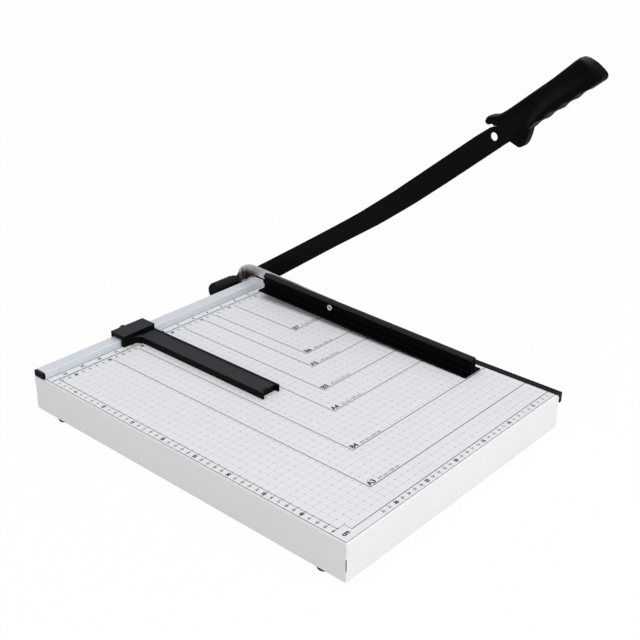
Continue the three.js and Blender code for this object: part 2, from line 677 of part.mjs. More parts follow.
function fixedBladeScrew(y) {
  const length = RIGHT_WALL + SHEET - FIXED_BLADE_LEG + FIXED_BLADE_SCREW_DEPTH;
  const seat = RIGHT_WALL + SHEET;
  const radius = FIXED_BLADE_SCREW_RADIUS;
  const profile = panScrew(seat, -1, radius, length, FIXED_BLADE_SCREW_HEAD_RADIUS, SCREW_HEAD_HEIGHT);
  return turnedLeft(profile, y, down(FIXED_BLADE_SCREW_DROP), SMALL_FACETS);
}

// A channel with two ears: the web lies on the back wall, the ears reach back and round the pivot.
function pivotBracket() {
  const ear = new THREE.Shape();
  ear.moveTo(BED_BEHIND_FENCE, down(BRACKET_TOP));
  ear.lineTo(BED_BEHIND_FENCE, down(BRACKET_BOTTOM));
  ear.lineTo(BED_BEHIND_FENCE + EAR_RADIUS, down(BRACKET_BOTTOM));
  ear.lineTo(PIVOT_BACK + EAR_RADIUS, PIVOT_HEIGHT);
  ear.absarc(PIVOT_BACK, PIVOT_HEIGHT, EAR_RADIUS, 0, Math.PI * 0.75);
  const whole = pushedAcross(ear, left(EAR_LEFT + EAR_THICKNESS), left(EAR_RIGHT));
  const between = block(
    [left(EAR_LEFT), left(SPACER_START)],
    [BED_BEHIND_FENCE + EAR_THICKNESS, PIVOT_BACK + EAR_RADIUS + OVERRUN],
    [down(BRACKET_BOTTOM + OVERRUN), PIVOT_HEIGHT + EAR_RADIUS + OVERRUN],
  );
  const webTop = block(
    [left(EAR_LEFT), left(SPACER_START)],
    [BED_BEHIND_FENCE - OVERRUN, PIVOT_BACK],
    [down(BRACKET_TOP), PIVOT_HEIGHT + EAR_RADIUS + OVERRUN],
  );
  const bore = rod(BOLT_RADIUS + SEAT_GAP, EAR_RIGHT - OVERRUN, EAR_LEFT + EAR_THICKNESS + OVERRUN);
  const boltHole = rod(
    BRACKET_BOLT_RADIUS + SEAT_GAP,
    BED_BEHIND_FENCE - OVERRUN,
    BED_BEHIND_FENCE + EAR_THICKNESS + OVERRUN,
  );
  return cut(
    whole,
    between,
    webTop,
    turnedLeft(bore, PIVOT_BACK, PIVOT_HEIGHT),
    ...bracketBoltPlaces.map((x) => turnedBack(boltHole, x, down(BRACKET_BOLT_DROP))),
  );
}

function bracketBolt(x) {
  const seat = BED_BEHIND_FENCE + EAR_THICKNESS;
  const profile = panScrew(
    seat, -1, BRACKET_BOLT_RADIUS, BRACKET_BOLT_LENGTH, BRACKET_BOLT_HEAD, BRACKET_BOLT_HEAD_HEIGHT,
  );
  return turnedBack(profile, x, down(BRACKET_BOLT_DROP));
}

// A hexagon nut on the bolt, inside the back wall.
function bracketNut(x) {
  const face = BED_BEHIND_FENCE - SHEET;
  const nut = pushedForward(
    hexagonProfile(BRACKET_BOLT_HEAD, x, down(BRACKET_BOLT_DROP)),
    face,
    face - BRACKET_BOLT_HEAD_HEIGHT,
  );
  const inner = face - BRACKET_BOLT_HEAD_HEIGHT;
  const thread = rod(BRACKET_BOLT_RADIUS + SEAT_GAP, inner - OVERRUN, face + OVERRUN);
  return cut(nut, turnedBack(thread, x, down(BRACKET_BOLT_DROP)));
}

const onPivot = (profile, facets) => turnedLeft(profile, PIVOT_BACK, PIVOT_HEIGHT, facets);
const boltBore = BOLT_RADIUS + SEAT_GAP;

function pivotBolt() {
  const seat = ARM_OUTER_FACE - RUNNING_GAP - HEAD_WASHER;
  const end = NUT_START + NUT_HEIGHT + BOLT_END;
  return onPivot([
    [0, seat - BOLT_HEAD_HEIGHT], [BOLT_HEAD_RADIUS - BOLT_HEAD_EDGE, seat - BOLT_HEAD_HEIGHT],
    [BOLT_HEAD_RADIUS, seat - BOLT_HEAD_HEIGHT + BOLT_HEAD_EDGE], [BOLT_HEAD_RADIUS, seat],
    [BOLT_RADIUS, seat],
    [BOLT_RADIUS, end - BOLT_HEAD_EDGE], [BOLT_RADIUS - BOLT_HEAD_EDGE, end], [0, end],
  ]);
}

const headWasher = () => {
  const face = ARM_OUTER_FACE - RUNNING_GAP;
  return onPivot(tube(boltBore, HEAD_WASHER_RADIUS, face - HEAD_WASHER, face));
};

function pivotNut() {
  const nut = pushedAcross(
    hexagonProfile(NUT_RADIUS, PIVOT_BACK, PIVOT_HEIGHT), left(NUT_START + NUT_HEIGHT), left(NUT_START),
  );
  return cut(nut, onPivot(rod(boltBore, NUT_START - OVERRUN, NUT_START + NUT_HEIGHT + OVERRUN)));
}

// The spring: one unbroken wire wound about the bolt, a ring of points at each step of its helix.
function springPath() {
  const first = SPRING_START + SPRING_WIRE + SEAT_GAP;
  const last = SPRING_WASHER_START - SPRING_WIRE - SEAT_GAP;
  const steps = SPRING_CURLS * SPRING_STEPS;
  return Array.from({ length: steps + 1 }, (_, i) => {
    const angle = (i / SPRING_STEPS) * Math.PI * 2;
    const along = first + ((last - first) * i) / steps;
    const y = PIVOT_BACK + SPRING_RADIUS * Math.cos(angle);
    return new THREE.Vector3(left(along), y, PIVOT_HEIGHT + SPRING_RADIUS * Math.sin(angle));
  });
}

function pivotSpring() {
  const path = springPath();
  const positions = [];
  path.forEach((point, i) => {
    const angle = (i / SPRING_STEPS) * Math.PI * 2;
    const outwards = new THREE.Vector3(0, Math.cos(angle), Math.sin(angle));
    for (let side = 0; side < SPRING_SIDES; side++) {
      const turn = (side / SPRING_SIDES) * Math.PI * 2;
      const at = point.clone().addScaledVector(outwards, SPRING_WIRE * Math.cos(turn));
      at.addScaledVector(RIGHTWARDS, SPRING_WIRE * Math.sin(turn));
      positions.push(at.x, at.y, at.z);
    }
  });
  const indices = [];
  for (let i = 0; i + 1 < path.length; i++) {
    for (let side = 0; side < SPRING_SIDES; side++) {
      const a = i * SPRING_SIDES + side;
      const b = i * SPRING_SIDES + ((side + 1) % SPRING_SIDES);
      indices.push(a, b, b + SPRING_SIDES, a, b + SPRING_SIDES, a + SPRING_SIDES);
    }
  }
  const last = (path.length - 1) * SPRING_SIDES;
  for (let side = 1; side + 1 < SPRING_SIDES; side++) {
    indices.push(0, side + 1, side, last, last + side, last + side + 1);
  }
  const geometry = new THREE.BufferGeometry();
  geometry.setAttribute("position", new THREE.Float32BufferAttribute(positions, 3));
  geometry.setIndex(indices);
  return solid(geometry);
}

// The least gap between one curl of the spring and the next, measured on its points.
function springGap() {
  const path = springPath();
  const curls = path.slice(SPRING_STEPS).map((point, i) => point.distanceTo(path[i]));
  return Math.min(...curls) - SPRING_WIRE * 2;
}

function springCap() {
  const end = CAP_START + CAP_LENGTH;
  const bore = CAP_RADIUS - CAP_WALL;
  return onPivot([
    [0, end], [CAP_RADIUS - CAP_WALL, end], [CAP_RADIUS - CAP_RIM, end - CAP_RIM],
    [CAP_RADIUS - CAP_RIM, end - CAP_WALL], [CAP_RADIUS, end - CAP_WALL - CAP_RIM],
    [CAP_RADIUS, CAP_START + CAP_EDGE], [CAP_RADIUS - CAP_RIM, CAP_START + CAP_RIM],
    [CAP_RADIUS - CAP_WALL + SEAT_GAP, CAP_START], [bore, CAP_START],
    [bore, end - CAP_WALL], [0, end - CAP_WALL],
  ]);
}

// The lever's outline from the side: strip, root and ear.
function leverSide() {
  const top = LEVER_HALF_DEPTH;
  const shape = new THREE.Shape();
  const rivet = [front(RIVET_FRONT), RIVET_HEIGHT];
  const jog = LEVER_JOG_BACK + LEVER_STRIP;
  shape.moveTo(rivet[0], rivet[1] + top);
  shape.absarc(rivet[0], rivet[1], top, Math.PI / 2, Math.PI * 1.5);
  shape.lineTo(0, LEVER_ROOT_TOP - top * 2);
  const bottom = LEVER_ROOT_TOP - top * 2 - LEVER_STRIP / 2;
  shape.quadraticCurveTo(LEVER_JOG_BACK / 2, bottom, LEVER_JOG_BACK - LEVER_STRIP, LEVER_JOG_LOW);
  shape.lineTo(PIVOT_BACK - LEVER_EAR_RADIUS, PIVOT_HEIGHT);
  shape.absarc(PIVOT_BACK, PIVOT_HEIGHT, LEVER_EAR_RADIUS, Math.PI, Math.PI * 2.5);
  shape.quadraticCurveTo(jog + LEVER_STRIP, PIVOT_HEIGHT + LEVER_EAR_RADIUS, jog, LEVER_JOG_TOP - top);
  shape.lineTo(jog, LEVER_JOG_TOP - LEVER_STRIP);
  shape.quadraticCurveTo(LEVER_JOG_BACK - LEVER_STRIP, LEVER_ROOT_TOP, LEVER_STRIP * 2, LEVER_ROOT_TOP);
  return shape;
}

// The same lever from the front: the jog rounds off to the left and only the ear reaches down.
function leverFront() {
  const outer = LEVER_EAR + LEVER_STRIP;
  const high = LEVER_ROOT_TOP + OVERRUN;
  const low = PIVOT_HEIGHT - LEVER_EAR_RADIUS - OVERRUN;
  const shape = new THREE.Shape();
  shape.moveTo(left(LEVER_START - OVERRUN), high);
  shape.lineTo(left(LEVER_START + LEVER_STRIP), high);
  shape.lineTo(left(LEVER_START + LEVER_STRIP), LEVER_JOG_TOP);
  shape.quadraticCurveTo(left(outer), LEVER_JOG_TOP, left(outer), LEVER_JOG_TOP / 2);
  shape.lineTo(left(outer), low);
  shape.lineTo(left(LEVER_EAR), low);
  shape.lineTo(left(LEVER_EAR), LEVER_JOG_LOW);
  shape.lineTo(left(LEVER_START - OVERRUN), LEVER_JOG_LOW);
  return shape;
}

// The same lever from above: one strip bent left behind the fence and back again at the pivot.
function leverPlan() {
  const outer = LEVER_BEND + LEVER_STRIP;
  const near = LEVER_START;
  const ear = LEVER_EAR;
  const jog = LEVER_JOG_BACK;
  const tip = front(RIVET_FRONT + LEVER_HALF_DEPTH + OVERRUN);
  const end = PIVOT_BACK + LEVER_EAR_RADIUS + OVERRUN;
  const shape = new THREE.Shape();
  shape.moveTo(left(near), tip);
  shape.lineTo(left(near), jog + LEVER_STRIP - outer);
  shape.absarc(left(near + outer), jog + LEVER_STRIP - outer, outer, 0, Math.PI / 2);
  shape.lineTo(left(ear - LEVER_BEND), jog + LEVER_STRIP);
  shape.absarc(left(ear - LEVER_BEND), jog + outer, LEVER_BEND, Math.PI * 1.5, Math.PI, true);
  shape.lineTo(left(ear), end);
  shape.lineTo(left(ear + LEVER_STRIP), end);
  shape.lineTo(left(ear + LEVER_STRIP), jog + outer);
  shape.absarc(left(ear + LEVER_STRIP - outer), jog + outer, outer, Math.PI, Math.PI * 1.5);
  shape.lineTo(left(near + LEVER_STRIP + LEVER_BEND), jog);
  shape.absarc(left(near + LEVER_STRIP + LEVER_BEND), jog - LEVER_BEND, LEVER_BEND, Math.PI / 2, 0, true);
  shape.lineTo(left(near + LEVER_STRIP), tip);
  return shape;
}

function clampLever() {
  const low = PIVOT_HEIGHT - LEVER_EAR_RADIUS - OVERRUN;
  const tip = front(RIVET_FRONT + LEVER_HALF_DEPTH + OVERRUN);
  const strip = shared(
    pushedUp(leverPlan(), low, LEVER_ROOT_TOP + OVERRUN),
    pushedAcross(leverSide(), left(LEVER_EAR + LEVER_STRIP + OVERRUN), left(LEVER_START - OVERRUN)),
    pushedForward(leverFront(), PIVOT_BACK + LEVER_EAR_RADIUS + OVERRUN, tip),
  );
  const rivetHole = rod(RIVET_RADIUS + SEAT_GAP, LEVER_START - OVERRUN, LEVER_START + LEVER_STRIP + OVERRUN);
  const boltHole = rod(boltBore, LEVER_EAR - OVERRUN, LEVER_EAR + LEVER_STRIP + OVERRUN);
  return cut(
    strip,
    turnedLeft(rivetHole, front(RIVET_FRONT), RIVET_HEIGHT, SMALL_FACETS),
    turnedLeft(boltHole, PIVOT_BACK, PIVOT_HEIGHT),
  );
}

const onRivet = (profile) => turnedLeft(profile, front(RIVET_FRONT), RIVET_HEIGHT, ROUND_FACETS);

function clampRivet() {
  const start = LEVER_START - RUNNING_GAP;
  const end = BAR_WEB_RIGHT + BAR_WEB + RUNNING_GAP;
  const lip = RIVET_HEAD / 2;
  return onRivet([
    [RIVET_BORE, start - RIVET_HEAD], [RIVET_HEAD_RADIUS - lip, start - RIVET_HEAD],
    [RIVET_HEAD_RADIUS, start - lip],
    [RIVET_HEAD_RADIUS, start], [RIVET_RADIUS, start], [RIVET_RADIUS, end], [RIVET_HEAD_RADIUS, end],
    [RIVET_HEAD_RADIUS, end + lip], [RIVET_HEAD_RADIUS - lip, end + RIVET_HEAD],
    [RIVET_BORE + lip, end + RIVET_HEAD], [RIVET_BORE, end + lip], [RIVET_BORE, start - RIVET_HEAD],
  ]);
}

function rivetWasher() {
  const from = LEVER_START + LEVER_STRIP + RUNNING_GAP / 2;
  return onRivet(tube(RIVET_RADIUS + SEAT_GAP, RIVET_HEAD_RADIUS, from, BAR_WEB_RIGHT - RUNNING_GAP / 2));
}

// The clamp bar lies along its own line, with the rivet at zero: an extruded foot, web and ridged head.
function clampBar() {
  const webLeft = BAR_WEB_RIGHT + BAR_WEB;
  const footLeft = BAR_FOOT_RIGHT + BAR_FOOT_WIDTH;
  const headRight = BAR_WEB_RIGHT - BAR_HEAD_RIGHT;
  const headLeft = webLeft + BAR_HEAD_LEFT;
  const ridge = (headRight + headLeft) / 2;
  const headSide = BAR_HEAD_BOTTOM + BAR_HEAD_LEFT;
  const outline = [
    [BAR_FOOT_RIGHT, 0], [BAR_FOOT_RIGHT, BAR_FOOT - BAR_FOOT_EDGE],
    [BAR_FOOT_RIGHT + BAR_FOOT_EDGE, BAR_FOOT], [BAR_WEB_RIGHT - BAR_FILLET, BAR_FOOT],
    [BAR_WEB_RIGHT, BAR_FOOT + BAR_FILLET], [BAR_WEB_RIGHT, BAR_HEAD_BOTTOM],
    [headRight, BAR_HEAD_BOTTOM + BAR_HEAD_RIGHT],
    [headRight, BAR_HEAD_BOTTOM + BAR_HEAD_RIGHT + BAR_HEAD_SIDE],
    [ridge - BAR_RIDGE, BAR_HEIGHT - BAR_FOOT_EDGE], [ridge - BAR_RIDGE / 2, BAR_HEIGHT],
    [ridge + BAR_RIDGE / 2, BAR_HEIGHT], [ridge + BAR_RIDGE, BAR_HEIGHT - BAR_FOOT_EDGE],
    [headLeft, headSide + BAR_HEAD_SIDE], [headLeft, headSide], [webLeft, BAR_HEAD_BOTTOM],
    [webLeft, BAR_FOOT + BAR_FILLET], [webLeft + BAR_FILLET, BAR_FOOT], [footLeft - BAR_FOOT_EDGE, BAR_FOOT],
    [footLeft, BAR_FOOT - BAR_FOOT_EDGE], [footLeft, 0],
  ];
  const section = polygon(outline.map(([distance, height]) => [left(distance), height - RIVET_ABOVE_FOOT]));
  section.holes.push(
    roundedRectangle(
      [left(webLeft - BAR_CORE_WALL), BAR_FOOT + BAR_CORE_WALL - RIVET_ABOVE_FOOT],
      [left(BAR_WEB_RIGHT + BAR_CORE_WALL), BAR_HEAD_BOTTOM - RIVET_ABOVE_FOOT],
      [BAR_CORE_WALL, BAR_CORE_WALL, BAR_CORE_WALL, BAR_CORE_WALL],
    ),
  );
  const bar = pushedForward(section, BAR_BACK, front(BAR_LENGTH - BAR_BACK));
  const notch = block(
    [left(BAR_WEB_RIGHT - BAR_NOTCH_GAP), left(BAR_FOOT_RIGHT - OVERRUN)],
    [front(LEVER_HALF_DEPTH + BAR_FOOT * 2), BAR_BACK + OVERRUN],
    [down(RIVET_ABOVE_FOOT + OVERRUN), down(RIVET_ABOVE_FOOT - BAR_FOOT - BAR_FILLET - SEAT_GAP)],
  );
  const hole = rod(RIVET_RADIUS + RUNNING_GAP, BAR_WEB_RIGHT - OVERRUN, webLeft + OVERRUN);
  return cut(bar, notch, turnedLeft(hole, 0, 0, SMALL_FACETS));
}

// Points in the arm's closed frame from shares of a length and a depth, as pairs of back and up.
const shareCurve = (shares, start, length, depth, steps) => {
  const place = ([along, rise]) => new THREE.Vector2(front(start + along * length), rise * depth);
  const through = shares.map(place);
  return new THREE.SplineCurve(through).getPoints(steps).map(({ x, y }) => [x, y]);
};
const sharePoints = (shares, start, length, depth) =>
  shares.map(([along, rise]) => [front(start + along * length), rise * depth]);

function arc(radius, from, to, steps) {
  return Array.from({ length: steps + 1 }, (_, i) => {
    const angle = from + ((to - from) * i) / steps;
    return [radius * Math.cos(angle), radius * Math.sin(angle)];
  });
}

// The arm's outline: top edge, tang, cutting edge and round root, closed and seen from the right.
function armOutline() {
  const top = shareCurve(ARM_TOP_SHARES, 0, ARM_REACH, ARM_DEPTH, CURVE_STEPS);
  const tang = handlePoints(TANG_SHARES);
  const edge = shareCurve(ARM_EDGE_SHARES, 0, ARM_REACH, ARM_DEPTH, CURVE_STEPS);
  const root = arc(ARM_ROOT_RADIUS, -Math.PI / 4, Math.PI / 2, ARC_STEPS * 2);
  return { innerFace: [...top, ...tang, ...edge, ...root], firstEdge: top.length + tang.length, edge };
}

// The arm and its edge: the bevel lifts the edge on the outer face and runs out at both ends.
function bladeArm() {
  const { innerFace, firstEdge, edge } = armOutline();
  const outerFace = innerFace.map(([y, z], i) => {
    const along = (i - firstEdge) / (edge.length - 1);
    const lift = Math.min(1, along / ARM_BEVEL_RUNOUT_SHARE, (1 - along) / ARM_BEVEL_RUNOUT_SHARE);
    return [y, z + ARM_BEVEL * Math.max(0, lift)];
  });
  const plate = lofted(innerFace, left(ARM_INNER_FACE), outerFace, left(ARM_OUTER_FACE));
  const through = (radius) => rod(radius, ARM_OUTER_FACE - OVERRUN, ARM_INNER_FACE + OVERRUN);
  const screwHole = through(HANDLE_SCREW_RADIUS + SEAT_GAP);
  const [holeAlong, holeRise] = ARM_HOLE_SHARES;
  return cut(
    plate,
    turnedLeft(through(boltBore), 0, 0),
    turnedLeft(through(ARM_HOLE_RADIUS), front(holeAlong * ARM_REACH), holeRise * ARM_DEPTH),
    ...handleScrewPlaces().map(([y, z]) => turnedLeft(screwHole, y, z, SMALL_FACETS)),
  );
}

const handlePoints = (shares) => sharePoints(shares, HANDLE_START, HANDLE_LENGTH, HANDLE_DEPTH);
const handleCurve = (shares) => shareCurve(shares, HANDLE_START, HANDLE_LENGTH, HANDLE_DEPTH, CURVE_STEPS);
const handleScrewPlaces = () => handlePoints(HANDLE_SCREW_SHARES);

// A point on the fingers' side, at a distance from the heel: hollow after hollow, then straight to the butt.
function fingerPoint(away) {
  const [butt, heel] = handlePoints([HANDLE_BUTT_SHARES.at(-1), FINGER_START_SHARES]);
  const slope = (butt[1] - heel[1]) / (butt[0] - heel[0]);
  const turns = Math.min(away / FINGER_PITCH, FINGER_COUNT);
  const wave = FINGER_WAVE * (1 - Math.cos(turns * Math.PI * 2));
  return [heel[0] - away, heel[1] - slope * away + wave];
}

// Finger hollows along the underside, up to the heel.
function fingerWaves() {
  const whole = FINGER_PITCH * FINGER_COUNT;
  return Array.from({ length: FINGER_STEPS }, (_, i) => fingerPoint(whole * (1 - i / FINGER_STEPS)));
}

// An outline moved outwards by one amount all round.
function grown(outline, amount) {
  const side = Math.sign(THREE.ShapeUtils.area(outline.map(([x, y]) => new THREE.Vector2(x, y))));
  return outline.map(([x, y], i) => {
    const before = outline.at(i - 1);
    const after = outline[(i + 1) % outline.length];
    const arriving = new THREE.Vector2(x - before[0], y - before[1]).normalize();
    const leaving = new THREE.Vector2(after[0] - x, after[1] - y).normalize();
    const normal = new THREE.Vector2(arriving.y + leaving.y, -arriving.x - leaving.x).normalize();
    const facing = Math.max(normal.dot(new THREE.Vector2(arriving.y, -arriving.x)), 0.5);
    return [x + (normal.x * side * amount) / facing, y + (normal.y * side * amount) / facing];
  });
}

// A moulded half: flat at the seam, its outline rounded over at the outer face.
function mouldedHalf(outline, seam, face, edge) {
  const outwards = Math.sign(left(face) - left(seam));
  const thickness = Math.abs(face - seam);
  const geometry = new THREE.ExtrudeGeometry(polygon(outline), {
    depth: thickness - edge,
    bevelThickness: edge,
    bevelSize: edge,
    bevelOffset: -edge,
    bevelSegments: HANDLE_EDGE_STEPS,
    steps: 1,
  });
  geometry.applyMatrix4(new THREE.Matrix4().makeBasis(BACKWARDS, UPWARDS, RIGHTWARDS));
  geometry.translate(outwards > 0 ? left(seam) : left(face) + edge, 0, 0);
  const beyond = left(seam) - outwards * (edge + OVERRUN);
  const reach = HANDLE_START + HANDLE_LENGTH + OVERRUN;
  const otherSide = block(
    [Math.min(left(seam), beyond), Math.max(left(seam), beyond)],
    [front(reach), front(HANDLE_START - OVERRUN)],
    [down(HANDLE_DEPTH), HANDLE_DEPTH * 2],
  );
  return cut(solid(geometry), otherSide);
}

const HANDLE_FAR = ARM_INNER_FACE - HANDLE_OUTER;
const HANDLE_SEAM = ARM_INNER_FACE + SEAT_GAP;

// What is left of the outer half when its near rim is broken along the thumb's side and the butt.
function easedRim(upper, lower) {
  const corner = upper.at(-1);
  const ring = (amount) => [
    ...upper.map(([y, z]) => [y + amount / 2, z - amount]),
    [corner[0], corner[1] - OVERRUN * 4],
    ...lower.map(([y, z]) => [y, z - OVERRUN * 2]),
  ];
  const deep = ARM_INNER_FACE - HANDLE_RIM - OVERRUN;
  return join(
    lofted(ring(HANDLE_RIM + OVERRUN), left(ARM_INNER_FACE + OVERRUN), ring(-OVERRUN), left(deep)),
    block(
      [left(deep + OVERRUN / 2), left(HANDLE_FAR - OVERRUN)],
      [front(HANDLE_START + HANDLE_LENGTH + OVERRUN), front(HANDLE_START - OVERRUN)],
      [down(HANDLE_DEPTH), HANDLE_DEPTH * 2],
    ),
  );
}

// The outer half carries the whole silhouette and a pocket for the tang, flush with the arm's inner face.
function handleOuter() {
  const upper = [...handleCurve(HANDLE_LIP_SHARES), ...handleCurve(HANDLE_BUTT_SHARES)];
  const lower = [...fingerWaves(), ...handleCurve(HANDLE_HEEL_SHARES)];
  const room = grown(armOutline().innerFace, POCKET_GAP);
  const pocket = lofted(room, left(ARM_INNER_FACE + OVERRUN), room, left(ARM_OUTER_FACE - POCKET_GAP));
  const outside = HANDLE_FAR - OVERRUN;
  const sink = rod(HANDLE_SCREW_HEAD_RADIUS + SEAT_GAP, outside, HANDLE_FAR + HANDLE_SCREW_SINK);
  const shank = rod(HANDLE_SCREW_RADIUS + SEAT_GAP, outside, ARM_INNER_FACE + OVERRUN);
  return cut(
    shared(
      mouldedHalf([...upper, ...lower], ARM_INNER_FACE, HANDLE_FAR, HANDLE_OUTER_EDGE),
      easedRim(upper, lower),
    ),
    pocket,
    ...handleScrewPlaces().flatMap(([y, z]) => [
      turnedLeft(sink, y, z, SMALL_FACETS), turnedLeft(shank, y, z, SMALL_FACETS),
    ]),
  );
}

// A table of shares read at a place between its ends.
function shareAt(shares, along) {
  const place = along * (shares.length - 1);
  const before = Math.min(Math.floor(place), shares.length - 2);
  return THREE.MathUtils.lerp(shares[before], shares[before + 1], place - before);
}

// Rows of the near half: each point has its place back and up, and its height off the seam.
function gripRows() {
  const top = shareCurve(GRIP_TOP_SHARES, HANDLE_START, HANDLE_LENGTH, HANDLE_DEPTH, GRIP_STEPS);
  const buttPoints = handlePoints(HANDLE_BUTT_SHARES).reverse();
  const butt = new THREE.SplineCurve(buttPoints.map(([y, z]) => new THREE.Vector2(y, z)));
  const [heel] = handlePoints([FINGER_START_SHARES]);
  const length = heel[0] - buttPoints[0][0];
  const last = [fingerPoint(length), top.at(-1)].map(([y, z]) => new THREE.Vector2(y, z));
  return top.map(([y, z], i) => {
    const along = i / GRIP_STEPS;
    const low = new THREE.Vector2(...fingerPoint(along * length));
    const high = new THREE.Vector2(y, z);
    const ending = GRIP_END_SHARES[GRIP_STEPS - i] ?? GRIP_END_SHARES[i + 1] ?? 1;
    return GRIP_ROW_SHARES.map((share, j) => {
      const bow = butt.getPoint(share).sub(last[0].clone().lerp(last[1], share));
      const at = low.clone().lerp(high, share).addScaledVector(bow, along ** 4);
      const bulge = GRIP_BULGE * shareAt(GRIP_BULGE_SHARES, along) * GRIP_ROW_BULGE_SHARES[j];
      const swell = GRIP_SWELL * shareAt(GRIP_SWELL_SHARES, along) * GRIP_ROW_SWELL_SHARES[j];
      return [at.x, at.y, GRIP_EDGE + (bulge + swell) * ending];
    });
  });
}

// The near half is the finger grip, kept in front of the bed so that the arm can close.
function handleInner() {
  const rows = gripRows();
  const across = GRIP_ROW_SHARES.length;
  const points = rows.flat();
  const raised = points.map(([y, z, height]) => [left(HANDLE_SEAM + height), y, z]);
  const seam = points.map(([y, z]) => [left(HANDLE_SEAM), y, z]);
  const indices = [];
  const quad = (a, b, c, d) => indices.push(a, b, c, a, c, d);
  for (let i = 0; i < GRIP_STEPS; i++) {
    for (let j = 0; j + 1 < across; j++) {
      const a = i * across + j;
      const b = points.length + a;
      quad(a, a + 1, a + across + 1, a + across);
      quad(b, b + across, b + across + 1, b + 1);
    }
  }
  const lowSide = rows.map((_, i) => i * across);
  const highSide = lowSide.map((a) => a + across - 1);
  const start = GRIP_ROW_SHARES.map((_, j) => j);
  const end = start.map((a) => lowSide.at(-1) + a);
  const loop = [...start, ...highSide.slice(1), ...end.reverse().slice(1), ...lowSide.reverse().slice(1)];
  for (let k = 0; k + 1 < loop.length; k++)
    quad(loop[k + 1], loop[k], points.length + loop[k], points.length + loop[k + 1]);
  const geometry = new THREE.BufferGeometry();
  geometry.setAttribute("position", new THREE.Float32BufferAttribute([...raised, ...seam].flat(), 3));
  geometry.setIndex(indices);
  const depth = HANDLE_SEAM + HANDLE_SCREW_BITE + SEAT_GAP;
  const bite = rod(HANDLE_SCREW_RADIUS + SEAT_GAP, HANDLE_SEAM - OVERRUN, depth);
  return cut(
    solid(geometry),
    ...handleScrewPlaces().map(([y, z]) => turnedLeft(bite, y, z, SMALL_FACETS)),
  );
}

function handleScrew([y, z]) {
  const seat = HANDLE_FAR + HANDLE_SCREW_SINK;
  const length = HANDLE_SEAM - seat + HANDLE_SCREW_BITE;
  const profile = panScrew(
    seat, 1, HANDLE_SCREW_RADIUS, length, HANDLE_SCREW_HEAD_RADIUS, HANDLE_SCREW_HEAD,
  );
  return turnedLeft(profile, y, z, SMALL_FACETS);
}

const STOP_BACK = FENCE_DEPTH + SEAT_GAP + STOP_FLANGE;
const STOP_FRONT = front(SEAT_GAP + STOP_LEG);

// The head grips the fence from above: front leg, top plate, and back flange with a boss for the screw.
function stopHead() {
  const section = roundedRectangle(
    [STOP_FRONT, STOP_BED_GAP], [STOP_BACK, STOP_HEAD_TOP], [STOP_EDGE, STOP_EDGE, SEAT_GAP, SEAT_GAP],
  );
  const plan = roundedRectangle(
    [left(STOP_HEAD_LEFT), STOP_FRONT],
    [left(STOP_RIGHT), STOP_BACK],
    [STOP_EDGE, STOP_EDGE, STOP_EDGE, STOP_EDGE],
  );
  const channel = block(
    [left(STOP_HEAD_LEFT + OVERRUN), left(STOP_RIGHT - OVERRUN)],
    [front(SEAT_GAP), FENCE_DEPTH + SEAT_GAP],
    [down(OVERRUN), STOP_HEAD_TOP - STOP_HEAD_PLATE],
  );
  const head = shared(
    pushedAcross(section, left(STOP_HEAD_LEFT), left(STOP_RIGHT)),
    pushedUp(plan, STOP_BED_GAP, STOP_HEAD_TOP),
  );
  const boss = rod(LOCK_BOSS_RADIUS, STOP_BACK - STOP_FLANGE / 2, STOP_BACK + LOCK_BOSS);
  return join(cut(head, channel), turnedBack(boss, left(LOCK_PLACE), LOCK_HEIGHT, ROUND_FACETS));
}

// The arm: two rails with a recessed plate between, ribbed underneath and cut back at its open end.
function stopArm() {
  const root = STOP_FRONT + STOP_LEG / 2;
  const end = front(STOP_ARM_REACH);
  const sides = [left(STOP_ARM_LEFT), left(STOP_RIGHT)];
  const within = [left(STOP_ARM_LEFT - STOP_RAIL), left(STOP_RIGHT + STOP_RAIL)];
  const plateTop = STOP_ARM_HEIGHT - STOP_RECESS;
  const bar = block(sides, [end, root], [STOP_BED_GAP, STOP_ARM_HEIGHT]);
  const recess = block(within, [end - OVERRUN, STOP_FRONT], [plateTop, STOP_ARM_HEIGHT + OVERRUN]);
  const notchEnd = end + STOP_END_NOTCH;
  const notch = block(within, [end - OVERRUN, notchEnd], [STOP_BED_GAP - OVERRUN, plateTop + OVERRUN]);
  const ribs = spread(STOP_RIB_COUNT, notchEnd, STOP_FRONT - STOP_RIB);
  const cells = ribs.slice(1).map((rib, i) =>
    block(within, [ribs[i] + STOP_RIB, rib], [STOP_BED_GAP - OVERRUN, plateTop - STOP_PLATE]),
  );
  const clip = tube(
    STOP_CLIP_RADIUS - STOP_CLIP_WALL,
    STOP_CLIP_RADIUS,
    plateTop - STOP_PLATE / 2,
    plateTop + STOP_CLIP_HEIGHT,
  );
  const clipX = left(STOP_ARM_LEFT - STOP_RAIL - STOP_CLIP_INSET - STOP_CLIP_RADIUS);
  const ring = turnedUp(clip, clipX, notchEnd, ROUND_FACETS);
  return cut(join(cut(bar, recess, ...cells), ring), notch);
}

// A concave web that leads the head's front face into the arm's left side.
function stopFillet() {
  const corner = left(STOP_ARM_LEFT + STOP_FILLET);
  const shape = new THREE.Shape();
  shape.moveTo(left(STOP_ARM_LEFT - STOP_RAIL), STOP_FRONT + STOP_RAIL);
  shape.lineTo(corner, STOP_FRONT + STOP_RAIL);
  shape.lineTo(corner, STOP_FRONT);
  shape.absarc(corner, STOP_FRONT - STOP_FILLET, STOP_FILLET, Math.PI / 2, 0, true);
  shape.lineTo(left(STOP_ARM_LEFT - STOP_RAIL), STOP_FRONT - STOP_FILLET);
  return pushedUp(shape, STOP_BED_GAP, STOP_ARM_HEIGHT);
}

